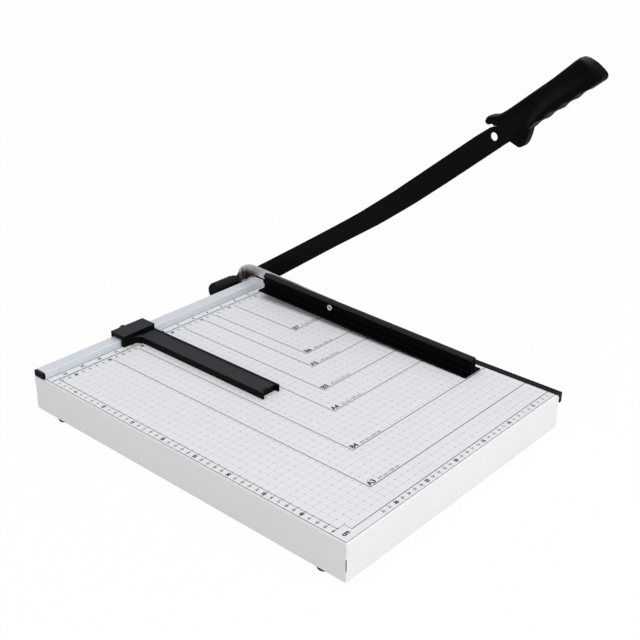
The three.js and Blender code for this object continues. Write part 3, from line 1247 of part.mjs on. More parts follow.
function paperStop() {
  const bore = rod(LOCK_RADIUS + SEAT_GAP, FENCE_DEPTH, STOP_BACK + LOCK_BOSS + OVERRUN);
  return cut(
    join(stopHead(), stopArm(), stopFillet()),
    turnedBack(bore, left(LOCK_PLACE), LOCK_HEIGHT, SMALL_FACETS),
  );
}

// A thumb screw with a fluted knob; its tip bears on the back of the fence.
function stopLockScrew() {
  const tip = FENCE_DEPTH + SEAT_GAP;
  const knob = STOP_BACK + LOCK_BOSS + SEAT_GAP;
  const end = knob + LOCK_KNOB_LENGTH;
  const body = turnedBack(
    [
      [0, tip], [LOCK_RADIUS, tip], [LOCK_RADIUS, knob], [LOCK_KNOB_RADIUS, knob],
      [LOCK_KNOB_RADIUS, end - LOCK_KNOB_EDGE], [LOCK_KNOB_RADIUS - LOCK_KNOB_EDGE, end], [0, end],
    ],
    left(LOCK_PLACE),
    LOCK_HEIGHT,
    ROUND_FACETS,
  );
  const flute = rod(LOCK_FLUTE_RADIUS, knob - OVERRUN / 4, end + OVERRUN);
  const flutes = Array.from({ length: LOCK_FLUTE_COUNT }, (_, i) => {
    const angle = (i / LOCK_FLUTE_COUNT) * Math.PI * 2;
    const reach = LOCK_KNOB_RADIUS + LOCK_FLUTE_RADIUS / 4;
    const x = left(LOCK_PLACE) + reach * Math.cos(angle);
    return turnedBack(flute, x, LOCK_HEIGHT + reach * Math.sin(angle), FLUTE_FACETS);
  });
  return cut(body, ...flutes);
}

// The machine, each moving group in a frame of its own
const machine = new THREE.Group();

const base = new THREE.Group();
base.add(piece("base_shell", baseShell(), "white_paint"));
base.add(piece("stiffener_back", stiffener(STIFFENER_BACK_SHARE), "bare_sheet"));
base.add(piece("stiffener_front", stiffener(STIFFENER_FRONT_SHARE), "bare_sheet"));
footPlaces.forEach((place, i) => {
  base.add(piece("foot_" + (i + 1), foot(place), "black_rubber"));
  base.add(piece("foot_screw_" + (i + 1), footScrew(place), "bright_zinc"));
});
base.add(piece("fence_rail", fenceRail(), "aluminium"));
base.add(piece("fence_end_cap", fenceEndCap(), "black_plastic"));
fencePlaces.forEach((x, i) => base.add(piece("fence_screw_" + (i + 1), fenceScrew(x), "bright_zinc")));
base.add(piece("fixed_blade", fixedBlade(), "blackened_steel"));
fixedBladePlaces.forEach((y, i) =>
  base.add(piece("fixed_blade_screw_" + (i + 1), fixedBladeScrew(y), "bright_zinc")),
);
base.add(piece("pivot_bracket", pivotBracket(), "blackened_steel"));
bracketBoltPlaces.forEach((x, i) => {
  base.add(piece("bracket_bolt_" + (i + 1), bracketBolt(x), "bright_zinc"));
  base.add(piece("bracket_nut_" + (i + 1), bracketNut(x), "bright_zinc"));
});

const ringOnPivot = (radius, from, to) => onPivot(tube(boltBore, radius, from, to));
base.add(piece("pivot_bolt", pivotBolt(), "bright_zinc"));
base.add(piece("head_washer", headWasher(), "bright_zinc"));
base.add(piece("thrust_washer", ringOnPivot(THRUST_WASHER_RADIUS, THRUST_START, EAR_RIGHT), "bright_zinc"));
base.add(piece("spacer_tube", ringOnPivot(SPACER_RADIUS, SPACER_START, EAR_LEFT), "bright_zinc"));
base.add(
  piece("lever_washer", ringOnPivot(LEVER_WASHER_RADIUS, LEVER_WASHER_START, SPRING_START), "bright_zinc"),
);
base.add(piece("pivot_spring", pivotSpring(), "bright_zinc"));
base.add(
  piece(
    "spring_washer",
    ringOnPivot(CAP_RADIUS - CAP_WALL - SEAT_GAP, SPRING_WASHER_START, NUT_START),
    "bright_zinc",
  ),
);
base.add(piece("pivot_nut", pivotNut(), "bright_zinc"));
base.add(piece("spring_cap", springCap(), "black_plastic"));
machine.add(base);

const arm = new THREE.Group();
arm.position.set(0, PIVOT_BACK, PIVOT_HEIGHT);
arm.rotation.x = -THREE.MathUtils.degToRad(ARM_OPEN_DEGREES);
arm.add(piece("blade_arm", bladeArm(), "black_paint"));
arm.add(piece("handle_outer", handleOuter(), "black_plastic"));
arm.add(piece("handle_inner", handleInner(), "black_plastic"));
handleScrewPlaces().forEach((place, i) =>
  arm.add(piece("handle_screw_" + (i + 1), handleScrew(place), "bright_zinc")),
);
machine.add(arm);

const clamp = new THREE.Group();
clamp.add(piece("clamp_lever", clampLever(), "bright_zinc"));
clamp.add(piece("clamp_rivet", clampRivet(), "bright_zinc"));
clamp.add(piece("rivet_washer", rivetWasher(), "bright_zinc"));
machine.add(clamp);

const bar = new THREE.Group();
bar.position.set(0, front(RIVET_FRONT), RIVET_HEIGHT);
bar.rotation.x = BAR_TILT;
bar.add(piece("clamp_bar", clampBar(), "black_paint"));
machine.add(bar);

const stop = new THREE.Group();
stop.add(piece("paper_stop", paperStop(), "black_plastic"));
stop.add(piece("stop_lock_screw", stopLockScrew(), "black_plastic"));
machine.add(stop);

// The origin goes to the floor, below the middle of the whole machine.
const reach = new THREE.Box3().setFromObject(machine, true);
const middle = reach.getCenter(new THREE.Vector3());
machine.position.set(-middle.x, -middle.y, -reach.min.z);

console.log("least gap between curls of the spring: " + springGap().toFixed(2) + " mm");

const cutter = new THREE.Group();
cutter.add(machine);
export default cutter;
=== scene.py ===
# %% [markdown]
# # A lever paper cutter
#
# This lesson dresses a finished CAD model of an office paper cutter: a flat white bed with
# printed rulers, a rear fence, a sliding stop, a black clamp bar and a long blade arm with a
# moulded handle. The CAD model stays where it is. Blender adds the paint, the plastic, the metal,
# the printing, the light and the camera.

# %% Load the fixed frame
import json
import math

import bpy
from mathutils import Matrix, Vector


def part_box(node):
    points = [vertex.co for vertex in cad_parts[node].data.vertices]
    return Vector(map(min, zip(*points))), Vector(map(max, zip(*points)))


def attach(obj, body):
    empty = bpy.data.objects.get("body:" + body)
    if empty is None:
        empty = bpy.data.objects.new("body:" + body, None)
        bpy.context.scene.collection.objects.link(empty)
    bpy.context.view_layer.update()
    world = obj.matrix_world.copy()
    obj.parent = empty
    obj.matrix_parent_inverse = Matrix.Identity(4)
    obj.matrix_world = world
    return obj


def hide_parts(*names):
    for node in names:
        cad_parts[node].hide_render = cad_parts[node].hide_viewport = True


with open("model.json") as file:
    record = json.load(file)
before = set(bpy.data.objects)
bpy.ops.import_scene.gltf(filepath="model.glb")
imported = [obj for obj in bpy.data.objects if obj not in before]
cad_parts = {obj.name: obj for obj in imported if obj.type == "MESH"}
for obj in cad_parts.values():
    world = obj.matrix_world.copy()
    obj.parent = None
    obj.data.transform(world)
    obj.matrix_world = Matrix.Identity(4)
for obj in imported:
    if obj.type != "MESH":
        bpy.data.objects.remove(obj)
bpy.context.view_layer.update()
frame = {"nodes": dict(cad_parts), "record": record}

MM = 0.001

nodes = frame["nodes"]
record = frame["record"]

# %% [markdown]
# ## The camera
#
# The camera stands where the photographer stood: in front, to the left and above. Its place, its
# turn and its lens were worked out from the sizes of the paper outlines printed on the bed, so
# they are given here as plain numbers.

# %% Camera
CAMERA_PLACE = (-0.82593, -0.77064, 0.67444)
CAMERA_TURN = (64.119, -0.409, -48.447)
CAMERA_LENS = 61.787
SENSOR_WIDTH = 36
NEAR_CLIP = 50 * MM

camera_data = bpy.data.cameras.new("camera")
camera_data.sensor_width = SENSOR_WIDTH
camera_data.lens = CAMERA_LENS
camera_data.clip_start = NEAR_CLIP
camera = bpy.data.objects.new("camera", camera_data)
camera.location = CAMERA_PLACE
camera.rotation_euler = [math.radians(angle) for angle in CAMERA_TURN]
bpy.context.scene.collection.objects.link(camera)
bpy.context.scene.camera = camera
bpy.context.scene.view_settings.view_transform = "Standard"
print("camera at", CAMERA_PLACE)

# %% [markdown]
# ## Shader maths as Python
#
# A finish in Blender is a graph of nodes. A small class wraps a node's output and overloads the
# operators of Python, so that a mask can be written as `1 - mask * 0.5`. Each such expression
# adds its Math nodes to the graph. Most masks rise from nought to one as some value grows, so
# that has a method of its own.

# %% Wrapper for a node's output
class Signal:
    """A node's output that takes part in Python arithmetic."""

    def __init__(self, graph, socket):
        self.graph = graph
        self.socket = socket

    def maths(self, operation, *operands):
        inputs = dict(enumerate(operands))
        return self.graph.node("ShaderNodeMath", {"operation": operation}, inputs)

    def __add__(self, other):
        return self.maths("ADD", self, other)

    def __radd__(self, other):
        return self.maths("ADD", other, self)

    def __sub__(self, other):
        return self.maths("SUBTRACT", self, other)

    def __rsub__(self, other):
        return self.maths("SUBTRACT", other, self)

    def __mul__(self, other):
        return self.maths("MULTIPLY", self, other)

    def __rmul__(self, other):
        return self.maths("MULTIPLY", other, self)

    def clamped(self):
        return self.graph.node("ShaderNodeClamp", {}, {"Value": self})

    def rising(self, start, rate):
        """Nought up to a start, then upwards at a rate, and never more than one."""
        return ((self - start) * rate).clamped()


print("arithmetic on node outputs ready")

# %% [markdown]
# ## One method for every node
#
# Every other node comes from one method, which takes the node's type, its settings and the values
# or links of its sockets. A graph belongs to the world or to a material. A finish is a material
# with one general shader, and what is even all over the surface is set on that shader's own
# sockets.

# %% Graph
class Graph:
    """A node tree whose nodes are added one line at a time."""

    def __init__(self, tree, end):
        self.tree = tree
        tree.nodes.clear()
        self.end = tree.nodes.new(end)

    def node(self, kind, settings=None, inputs=None, output=0):
        made = self.tree.nodes.new(kind)
        for setting, value in (settings or {}).items():
            setattr(made, setting, value)
        for socket, value in (inputs or {}).items():
            self.feed(made.inputs[socket], value)
        return Signal(self, made.outputs[output])

    def feed(self, socket, value):
        if isinstance(value, Signal):
            self.tree.links.new(value.socket, socket)
        else:
            socket.default_value = value

    def surface(self, shader):
        """Links a shader to the end of the graph, in place of the one before."""
        self.feed(self.end.inputs["Surface"], shader)


print("graph ready")

# %% [markdown]
# ## What a finish is made of
#
# Real surfaces vary from place to place. A noise gives the variation, and it reads the
# coordinates of the piece itself, so the pattern moves with the piece. A finish may also depend
# on which way a face looks, because dust and hands reach the upper faces first.

# %% Finish
class Finish(Graph):
    """A material with one general shader."""

    def __init__(self, name, **constants):
        self.material = bpy.data.materials.new(name)
        self.material.use_nodes = True
        super().__init__(self.material.node_tree, "ShaderNodeOutputMaterial")
        self.shader = self.node("ShaderNodeBsdfPrincipled")
        self.surface(self.shader)
        self.set(**constants)

    def set(self, **values):
        """Sets or links sockets of the shader; an underscore stands for a space."""
        for socket, value in values.items():
            self.feed(self.shader.socket.node.inputs[socket.replace("_", " ")], value)
        return self

    def place(self, stretch=(1, 1, 1)):
        here = self.node("ShaderNodeTexCoord", output="Object")
        return self.node("ShaderNodeMapping", {}, {"Vector": here, "Scale": stretch})

    def noise(self, scale, detail=3, roughness=0.5, stretch=(1, 1, 1)):
        values = {
            "Vector": self.place(stretch), "Scale": scale, "Detail": detail, "Roughness": roughness,
        }
        return self.node("ShaderNodeTexNoise", {}, values, output="Fac")

    def facing(self, axis):
        """How far the surface faces along an axis of the piece, from -1 to 1."""
        normal = self.node("ShaderNodeTexCoord", output="Normal")
        return self.node("ShaderNodeSeparateXYZ", {}, {"Vector": normal}, output=axis)

    def coordinate(self, axis):
        """The place on the piece along one axis, in metres."""
        here = self.node("ShaderNodeTexCoord", output="Object")
        return self.node("ShaderNodeSeparateXYZ", {}, {"Vector": here}, output=axis)

    def blend(self, mask, first, second):
        """The first colour where the mask is nought, and the second where it is one."""
        inputs = {0: mask, 6: first, 7: second}
        return self.node("ShaderNodeMix", {"data_type": "RGBA"}, inputs, output=2)

    def bump(self, height, depth):
        """A fine relief, whose depth is given in metres."""
        return self.node("ShaderNodeBump", {}, {"Height": height, "Distance": depth})


def grey(level):
    return (level, level, level, 1)


print("finishes ready")

# %% [markdown]
# ## White powder coat
#
# The tray is folded sheet steel under a white powder coat. Such paint is smooth from afar, with a
# faint orange-peel surface close by. A fine noise drives the bump, and a broad one drifts the
# colour and the gloss by a few hundredths. Faces that look up get a lighter, cooler white than the
# walls, as painted skylight, so the colour also depends on which way a face looks.

# %% White powder coat
WALL_WHITES = (0.72, 0.713, 0.705, 1), (0.745, 0.738, 0.725, 1)
SKYLIT_TOP_WHITES = (0.735, 0.74, 0.755, 1), (0.765, 0.77, 0.78, 1)
UPPER_FACES = (0.5, 4)
PEEL_DEPTH = 0.04 * MM


def powder_coat():
    coat = Finish("white_powder_coat", IOR=1.5)
    drift = coat.noise(7, detail=2)
    peel = coat.noise(900, detail=2)
    walls = coat.blend(drift, *WALL_WHITES)
    bed = coat.blend(drift, *SKYLIT_TOP_WHITES)
    # Painted skylight: faces that look up get the lighter, cooler whites.
    colour = coat.blend(coat.facing("Z").rising(*UPPER_FACES), walls, bed)
    rough = 0.42 + drift * 0.08 + peel * 0.05
    coat.set(Base_Color=colour, Roughness=rough, Normal=coat.bump(peel, PEEL_DEPTH))
    return coat.material


white_powder_coat = powder_coat()
print("made", white_powder_coat.name)

# %% [markdown]
# ## Drawn aluminium
#
# The fence is a drawn aluminium rail. Drawing leaves hair-fine lines along its length, so the noise
# is squeezed across the rail and stretched along it. The top face is painted lighter and the front
# face darker: painted light on the top and painted shade on the front.

# %% Drawn aluminium
SHADED_FRONT = (0.595, 0.63, 0.675, 1), (0.65, 0.685, 0.73, 1)
LIT_TOP = (0.70, 0.735, 0.77, 1), (0.75, 0.785, 0.82, 1)
LINES_ALONG_RAIL = (0.25, 30, 30)
LINE_DEPTH = 0.03 * MM


def drawn_aluminium():
    metal = Finish("drawn_aluminium", Metallic=0.4, IOR=1.5, Specular_IOR_Level=0.35)
    lines = metal.noise(60, detail=4, roughness=0.7, stretch=LINES_ALONG_RAIL)
    drift = metal.noise(12, detail=2)
    front = metal.blend(lines, *SHADED_FRONT)
    top = metal.blend(lines, *LIT_TOP)
    # Painted light and shade: the top gets the lighter colour, the front the darker one.
    colour = metal.blend(metal.facing("Z").rising(*UPPER_FACES), front, top)
    rough = 0.42 + lines * 0.10 + drift * 0.06
    metal.set(Base_Color=colour, Roughness=rough, Normal=metal.bump(lines, LINE_DEPTH))
    return metal.material


aluminium = drawn_aluminium()
print("made", aluminium.name)

# %% [markdown]
# ## Bright zinc
#
# Lever, rivet, bolt and screws are zinc-plated steel: bright, a little warm, with cloudy patches
# where the plating took differently. The lever's low part, behind the fence, gets a dark brown
# painted shade that thins out towards the crest.

# %% Bright zinc
CLOUDY_ZINC = (0.76, 0.74, 0.71, 1), (0.90, 0.885, 0.86, 1)
PAINTED_SHADE_BROWN = (0.075, 0.065, 0.06, 1)
SCRATCH_DEPTH = 0.01 * MM
SHADE_BELOW_CREST = 6.5 * MM
SHADE_REACH = 50 * MM
SHADE_STRENGTH = 0.94
CREST_FADE, BACK_FADE = 130, 120


def zinc_plate(name, shade_mask=None):
    zinc = Finish(name, Metallic=1.0)
    cloud = zinc.noise(160)
    scratch = zinc.noise(700)
    colour = zinc.blend(cloud, *CLOUDY_ZINC)
    # A given mask lays painted shade over the zinc.
    if shade_mask:
        colour = zinc.blend(shade_mask(zinc), colour, PAINTED_SHADE_BROWN)
    rough = 0.33 + cloud * 0.06 + scratch * 0.05
    zinc.set(Base_Color=colour, Roughness=rough, Normal=zinc.bump(scratch, SCRATCH_DEPTH))
    return zinc.material


def oil_film(finish):
    """Painted shade: none on the lever's crest, and dark on its low part behind the fence."""
    low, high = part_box("clamp_lever")
    low_part = (high.z - finish.coordinate("Z")).rising(SHADE_BELOW_CREST, CREST_FADE)
    behind = finish.coordinate("Y").rising(high.y - SHADE_REACH, BACK_FADE)
    return low_part * behind * SHADE_STRENGTH


bright_zinc = zinc_plate("bright_zinc")
shaded_zinc = zinc_plate("shaded_zinc", oil_film)
print("made", bright_zinc.name, "and", shaded_zinc.name)

# %% [markdown]
# ## Plain sheet steel
#
# The two stiffeners under the bed are plain galvanised sheet, with the flake pattern that zinc
# leaves as it freezes. A cell texture stands for the flakes.

# %% Plain sheet steel
FLAKE_GREYS = (0.46, 0.48, 0.50, 1), (0.62, 0.63, 0.65, 1)


def galvanised_sheet():
    sheet = Finish("galvanised_sheet", Metallic=1.0)
    cells = {"Vector": sheet.place(), "Scale": 130}
    flakes = sheet.node("ShaderNodeTexVoronoi", {"feature": "F1"}, cells, output="Color")
    tone = sheet.node("ShaderNodeRGBToBW", {}, {"Color": flakes})
    sheet.set(Base_Color=sheet.blend(tone, *FLAKE_GREYS), Roughness=0.32 + tone * 0.2)
    return sheet.material


bare_sheet = galvanised_sheet()
print("made", bare_sheet.name)

# %% [markdown]
# ## Black finishes with painted top light
#
# Black pieces are the hardest to get right, because an even black reads as a hole in the picture.
# The black faces that stand upright are kept deep, and those that lie flat are painted greyer, as
# painted light from above. So each black finish mixes a deep colour with a paler one. The mask of
# the paler colour comes from the way the surface faces on the piece itself, broken up by a noise.

# %% Deep black under painted top light
def flat_top(finish):
    """One on faces that look straight up, and none on those that stand."""
    return finish.facing("Z").rising(0.5, 2.2)


def grey_blue(level):
    """A black or grey that leans a little to blue."""
    return (level, level * 1.03, level * 1.16, 1)


def bloomed_black(name, deep, pale_tone, gloss, grain_size, grain_depth, sheen, top_light_mask=flat_top):
    black = Finish(name, IOR=1.5, Specular_IOR_Level=sheen)
    grain = black.noise(grain_size)
    drift = black.noise(14, detail=2)
    # Painted top light: faces that lie flat get the paler colour.
    mask = top_light_mask(black) * (0.85 + drift * 0.2 + grain * 0.1)
    colour = black.blend(mask.clamped(), grey_blue(deep), grey_blue(pale_tone))
    rough = gloss + drift * 0.1 + grain * 0.08
    black.set(Base_Color=colour, Roughness=rough, Normal=black.bump(grain, grain_depth))
    return black.material


print("black with a bloom ready")

# %% [markdown]
# ## Black steel and the black bar
#
# The arm is painted, the fixed blade is blackened and the clamp bar is a black extrusion. The bar's
# foot lies flat too, but it stays as dark as the bar's web. So the painted top light is held to the
# bar's head, by the height above a line through the rivet, which follows the bar's slope.

# %% Black steel finishes
BAR_SLOPE = 0.026
HEAD_ABOVE_RIVET = 3.5 * MM
HEAD_FADE = 150


def head_of_bar(finish):
    """One on top of the clamp bar's head, and none on its foot."""
    joints = record["behaviour"]["joints"]
    rivet = next(joint["pos_m"] for joint in joints if joint["name"] == "clamp_rock")
    along = finish.coordinate("Y") - rivet[1]
    above = finish.coordinate("Z") - rivet[2] - along * BAR_SLOPE
    return flat_top(finish) * above.rising(HEAD_ABOVE_RIVET, HEAD_FADE)


black_paint = bloomed_black("satin_black_paint", 0.0010, 0.010, 0.36, 1100, 0.04 * MM, sheen=0.06)
blackened_steel = bloomed_black("blackened_steel", 0.002, 0.008, 0.42, 700, 0.05 * MM, sheen=0.08)
black_anodised = bloomed_black(
    "black_extrusion", 0.0012, 0.044, 0.36, 900, 0.03 * MM, sheen=0.035, top_light_mask=head_of_bar
)
print("made", black_paint.name, blackened_steel.name, black_anodised.name)

# %% [markdown]
# ## Moulded black plastic and rubber
#
# Handle, stop, caps and knob are moulded with a fine spark-eroded grain. The grain breaks up the
# highlight and makes the plastic look softer than the painted steel beside it. The handle's painted
# top light is strongest along its upper rim, faint on what leans upwards, and none at its butt.

# %% Plastic and rubber
def foot_rubber():
    rubber = Finish("foot_rubber", IOR=1.45)
    pale_tone = rubber.noise(400, detail=4)
    colour = rubber.blend(pale_tone, grey(0.010), grey(0.022))
    return rubber.set(Base_Color=colour, Roughness=0.7 + pale_tone * 0.15).material


def hand_rubbed(finish):
    """Painted light: strong on the rim, faint on what leans upwards, and none on the butt."""
    upward = finish.facing("Z")
    rim_share = upward.rising(0.5, 2) + upward.rising(0.1, 0.25)
    return rim_share * finish.facing("Y").rising(-0.45, 3)


GRAIN_DEPTH = 0.06 * MM

black_plastic = bloomed_black(
    "moulded_black_plastic", 0.0014, 0.034, 0.46, 2300, GRAIN_DEPTH, sheen=0.06
)
handle_plastic = bloomed_black(
    "black_plastic_with_rim_light", 0.0009, 0.075, 0.44, 2300, GRAIN_DEPTH,
    sheen=0.05, top_light_mask=hand_rubbed,
)
cap_plastic = bloomed_black("turned_black_cap", 0.0016, 0.014, 0.42, 1900, 0.05 * MM, sheen=0.06)
black_rubber = foot_rubber()
print("made", black_plastic.name, handle_plastic.name, cap_plastic.name, black_rubber.name)

# %% [markdown]
# ## Dressing the CAD pieces
#
# The record names a finish for every piece. The first table below maps each of those names to a
# material made above. The second one gives a few pieces a variant of their own, such as the handle
# with its painted rim light and the lever with its painted shade.

# %% Dress the CAD pieces
FINISH_OF_SLOT = {
    "white_paint": white_powder_coat,
    "bare_sheet": bare_sheet,
    "aluminium": aluminium,
    "bright_zinc": bright_zinc,
    "blackened_steel": blackened_steel,
    "black_paint": black_paint,
    "black_anodised": black_anodised,
    "black_plastic": black_plastic,
    "black_rubber": black_rubber,
}

OWN_FINISH = {
    "handle_outer": handle_plastic,
    "handle_inner": handle_plastic,
    "spring_cap": cap_plastic,
    "clamp_lever": shaded_zinc,
}

for entry in record["subparts"]:
    coats = nodes[entry["node"]].data.materials
    coats.clear()
    coats.append(OWN_FINISH.get(entry["node"], FINISH_OF_SLOT[entry["material_slot"]]))
print("dressed", len(nodes), "pieces")

# %% [markdown]
# ## Soft edges
#
# No real edge is perfectly sharp: paint, moulding and filing leave a small round that catches the
# light. Each CAD piece that shows is copied, its loose triangles are merged, and a Bevel modifier
# rounds its edges. Smooth shading by angle then hides the facets of its curves, and a Weighted
# Normal modifier keeps the shading of the large faces flat.

# %% Tools for copies and selections
MERGE_DISTANCE = 0.002 * MM
FLAT_ANGLE = math.radians(1)
SHARP_ANGLE = math.radians(35)


def alone(piece):
    """Leaves this piece selected and active, and nothing else."""
    bpy.ops.object.select_all(action="DESELECT")
    piece.select_set(True)
    bpy.context.view_layer.objects.active = piece


def merged_copy(name):
    """A copy of a CAD piece whose triangles share their corners and whose flat faces are whole."""
    piece = bpy.data.objects.new(name + "_finished", nodes[name].data.copy())
    bpy.context.scene.collection.objects.link(piece)
    alone(piece)
    bpy.ops.mesh.customdata_custom_splitnormals_clear()
    bpy.ops.object.mode_set(mode="EDIT")
    bpy.ops.mesh.select_all(action="SELECT")
    bpy.ops.mesh.remove_doubles(threshold=MERGE_DISTANCE)
    bpy.ops.mesh.dissolve_limited(angle_limit=FLAT_ANGLE)
    bpy.ops.object.mode_set(mode="OBJECT")
    return piece


def rounded(piece, width):
    """Rounds the piece's sharp edges by a width in millimetres and smooths its shading."""
    alone(piece)
    if width > 0:
        bevel = piece.modifiers.new("soft_edges", "BEVEL")
        bevel.width = width * MM
        bevel.segments = 2
        bevel.limit_method = "ANGLE"
        bevel.angle_limit = SHARP_ANGLE
        bpy.ops.object.modifier_apply(modifier="soft_edges")
    bpy.ops.object.shade_smooth_by_angle(angle=SHARP_ANGLE)
    flat = piece.modifiers.new("flat_faces", "WEIGHTED_NORMAL")
    flat.keep_sharp = True
    bpy.ops.object.modifier_apply(modifier="flat_faces")
    return piece


print("tools for copies ready")

# %% [markdown]
# ### Copies in the place of their pieces
#
# Moulded pieces, the bent lever and the bracket have the widest rounds, drawn metal and small
# screws the narrowest, and the wound spring needs none. The CAD piece itself stays hidden
# underneath, and the copy rides on the same body.

# %% Round the edges of what shows
EDGE_ROUNDS = {
    "base_shell": 0.15, "fence_rail": 0.1, "fixed_blade": 0.15, "spring_cap": 0.25,
    "pivot_bracket": 0.4, "pivot_bolt": 0.2, "head_washer": 0.15, "lever_washer": 0.1,
    "blade_arm": 0.2, "handle_outer": 0.4, "handle_inner": 0.3, "clamp_lever": 0.35,
    "clamp_rivet": 0.12, "rivet_washer": 0.1, "clamp_bar": 0.18, "paper_stop": 0.3,
    "stop_lock_screw": 0.2, "foot_1": 0.25, "foot_2": 0.25, "foot_3": 0.25, "foot_4": 0.25,
    "pivot_spring": 0, "handle_screw_1": 0.1, "handle_screw_2": 0.1,
    "bracket_bolt_1": 0.1, "bracket_bolt_2": 0.1, "spacer_tube": 0.15,
}


def body_of(name):
    """The body that carries a CAD piece."""
    bodies = record["behaviour"]["bodies"]
    return next(body for body, members in bodies.items() if name in members)


def slot_of(name):
    """The finish that the record names for a CAD piece."""
    return next(entry["material_slot"] for entry in record["subparts"] if entry["node"] == name)


def stand_in(piece, name):
    """Puts a finished piece in the place of its CAD piece."""
    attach(piece, body_of(name))
    slot_of(name)
    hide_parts(name)
    return piece


finished = {}
for name, width in EDGE_ROUNDS.items():
    finished[name] = stand_in(rounded(merged_copy(name), width), name)
print("rounded", len(finished), "pieces")

# %% [markdown]
# ### A tip that must not show
#
# The first handle screw ends in a thin place of the grip, where its bright tip would show as a
# point of light. On the real handle nothing of it is seen. So the corners at the copy's tip are
# moved back along the screw, which runs along X.

# %% Draw back the tip of a screw
TIP_CORNERS = 1 * MM
TIP_MOVE = 2.5 * MM


def draw_back_tip(screw):
    """Moves the corners at the screw's far end towards its head, and counts them."""
    corners = screw.data.vertices
    end = min(corner.co.x for corner in corners)
    moved = [corner for corner in corners if corner.co.x < end + TIP_CORNERS]
    for corner in moved:
        corner.co.x += TIP_MOVE
    return len(moved)


print("tip corners drawn back:", draw_back_tip(finished["handle_screw_1"]))

# %% [markdown]
# ## The fence's end cap
#
# The left end of the fence is closed by a small black plug with well rounded corners. A cube is
# added at the size of the CAD cap's visible slab. Its four long edges get a wide bevel, as a
# moulded corner has, and all that is left gets a narrow one.

# %% End cap
CAP_THICKNESS = 3.2 * MM
CAP_CORNER = 1.7 * MM
CAP_EDGE = 0.35
HAIR = 0.01 * MM


def settle(piece):
    """Moves the piece's place, turn and size into its mesh."""
    alone(piece)
    bpy.ops.object.transform_apply(location=True, rotation=True, scale=True)
    return piece


def choose_edges(piece, wanted):
    """Selects the edges whose two ends pass a test, and goes to edit mode."""
    alone(piece)
    bpy.ops.object.mode_set(mode="EDIT")
    bpy.ops.mesh.select_mode(type="EDGE")
    bpy.ops.mesh.select_all(action="DESELECT")
    bpy.ops.object.mode_set(mode="OBJECT")
    corners = piece.data.vertices
    for edge in piece.data.edges:
        edge.select = wanted(corners[edge.vertices[0]].co, corners[edge.vertices[1]].co)
    bpy.ops.object.mode_set(mode="EDIT")


def runs_along_x(first, second):
    return abs(first.y - second.y) + abs(first.z - second.z) < HAIR


def end_cap():
    low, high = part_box("fence_end_cap")
    high = Vector((low.x + CAP_THICKNESS, high.y, high.z))
    bpy.ops.mesh.primitive_cube_add(size=1, location=(low + high) / 2, scale=high - low)
    cap = settle(bpy.context.object)
    cap.name = "fence_end_cap_finished"
    choose_edges(cap, runs_along_x)
    bpy.ops.mesh.bevel(offset=CAP_CORNER, segments=5)
    bpy.ops.object.mode_set(mode="OBJECT")
    cap.data.materials.append(black_plastic)
    return stand_in(rounded(cap, CAP_EDGE), "fence_end_cap")


print("made", end_cap().name)

# %% [markdown]
# ## The ground edge of the blade
#
# The arm is painted black on both faces, but its cutting edge is ground after painting, so the
# bevel on the outer face is bare steel. Grinding leaves fine scratches across the edge. The copy
# of the arm gets a second material on the faces of the bevel, which are found by their slant.

# %% Ground edge
GROUND_STEELS = (0.50, 0.51, 0.53, 1), (0.68, 0.69, 0.71, 1)
ACROSS_THE_EDGE = (1, 6, 1)
GRINDING_DEPTH = 0.03 * MM
LEAST_OUTWARD, MOST_OUTWARD = 0.3, 0.98
LEAST_DOWNWARD = 0.2
SMALLEST_FACE = 4 * MM * MM


def ground_steel():
    steel = Finish("ground_steel", Metallic=1.0)
    scratches = steel.noise(260, detail=4, roughness=0.7, stretch=ACROSS_THE_EDGE)
    colour = steel.blend(scratches, *GROUND_STEELS)
    normal = steel.bump(scratches, GRINDING_DEPTH)
    return steel.set(Base_Color=colour, Roughness=0.24 + scratches * 0.2, Normal=normal).material


def on_bevel(face):
    outward = LEAST_OUTWARD < face.normal.x < MOST_OUTWARD
    return outward and face.normal.z < -LEAST_DOWNWARD and face.area > SMALLEST_FACE


def grind_edge(arm):
    arm.data.materials.append(ground_steel())
    ground = [face for face in arm.data.polygons if on_bevel(face)]
    for face in ground:
        face.material_index = 1
    return len(ground)


print("ground faces:", grind_edge(finished["blade_arm"]))

# %% [markdown]
# ## Recesses of the screws
#
# The small screws have cross recesses. They are too small to cut into the solids, so each is a dark
# cross of painted shadow, made from two crossed slivers that lie on the head. Every screw gets one
# at its own size, turned to the direction in which its head looks.

# %% A dark cross
CROSS_SHARE = 0.28
CROSS_HEIGHT = 0.06 * MM


def recess_finish():
    dark = Finish("recess_shadow", Roughness=0.7)
    # Painted shadow of the recess, mottled a little.
    shadow_mottle = dark.noise(800, detail=2)
    return dark.set(Base_Color=dark.blend(shadow_mottle, grey(0.010), grey(0.030))).material


recess_shadow = recess_finish()


def joined(name, pieces):
    """Joins pieces into the first of them and names it."""
    bpy.ops.object.select_all(action="DESELECT")
    for piece in pieces:
        piece.select_set(True)
    bpy.context.view_layer.objects.active = pieces[0]
    bpy.ops.object.join()
    bpy.context.object.name = name
    return bpy.context.object


def cross(name, centre, turn, size):
    """Two crossed bars about a centre; the turn in degrees takes +Z to the head's direction."""
    bars = []
    for x, y in ((size, size * CROSS_SHARE), (size * CROSS_SHARE, size)):
        bpy.ops.mesh.primitive_cube_add(size=1, location=(0, 0, 0), scale=(x, y, CROSS_HEIGHT))
        bars.append(settle(bpy.context.object))
    made = joined(name, bars)
    made.location = centre
    made.rotation_euler = [math.radians(angle) for angle in turn]
    made.data.materials.append(recess_shadow)
    return settle(made)


print("made", recess_shadow.name)

# %% [markdown]
# ### One recess for each screw
#
# The handle screws look to the far side, the bracket bolts look back, and all the others are
# driven from below. A recess sits in the middle of the head's outer face and rides on the body of
# its screw.

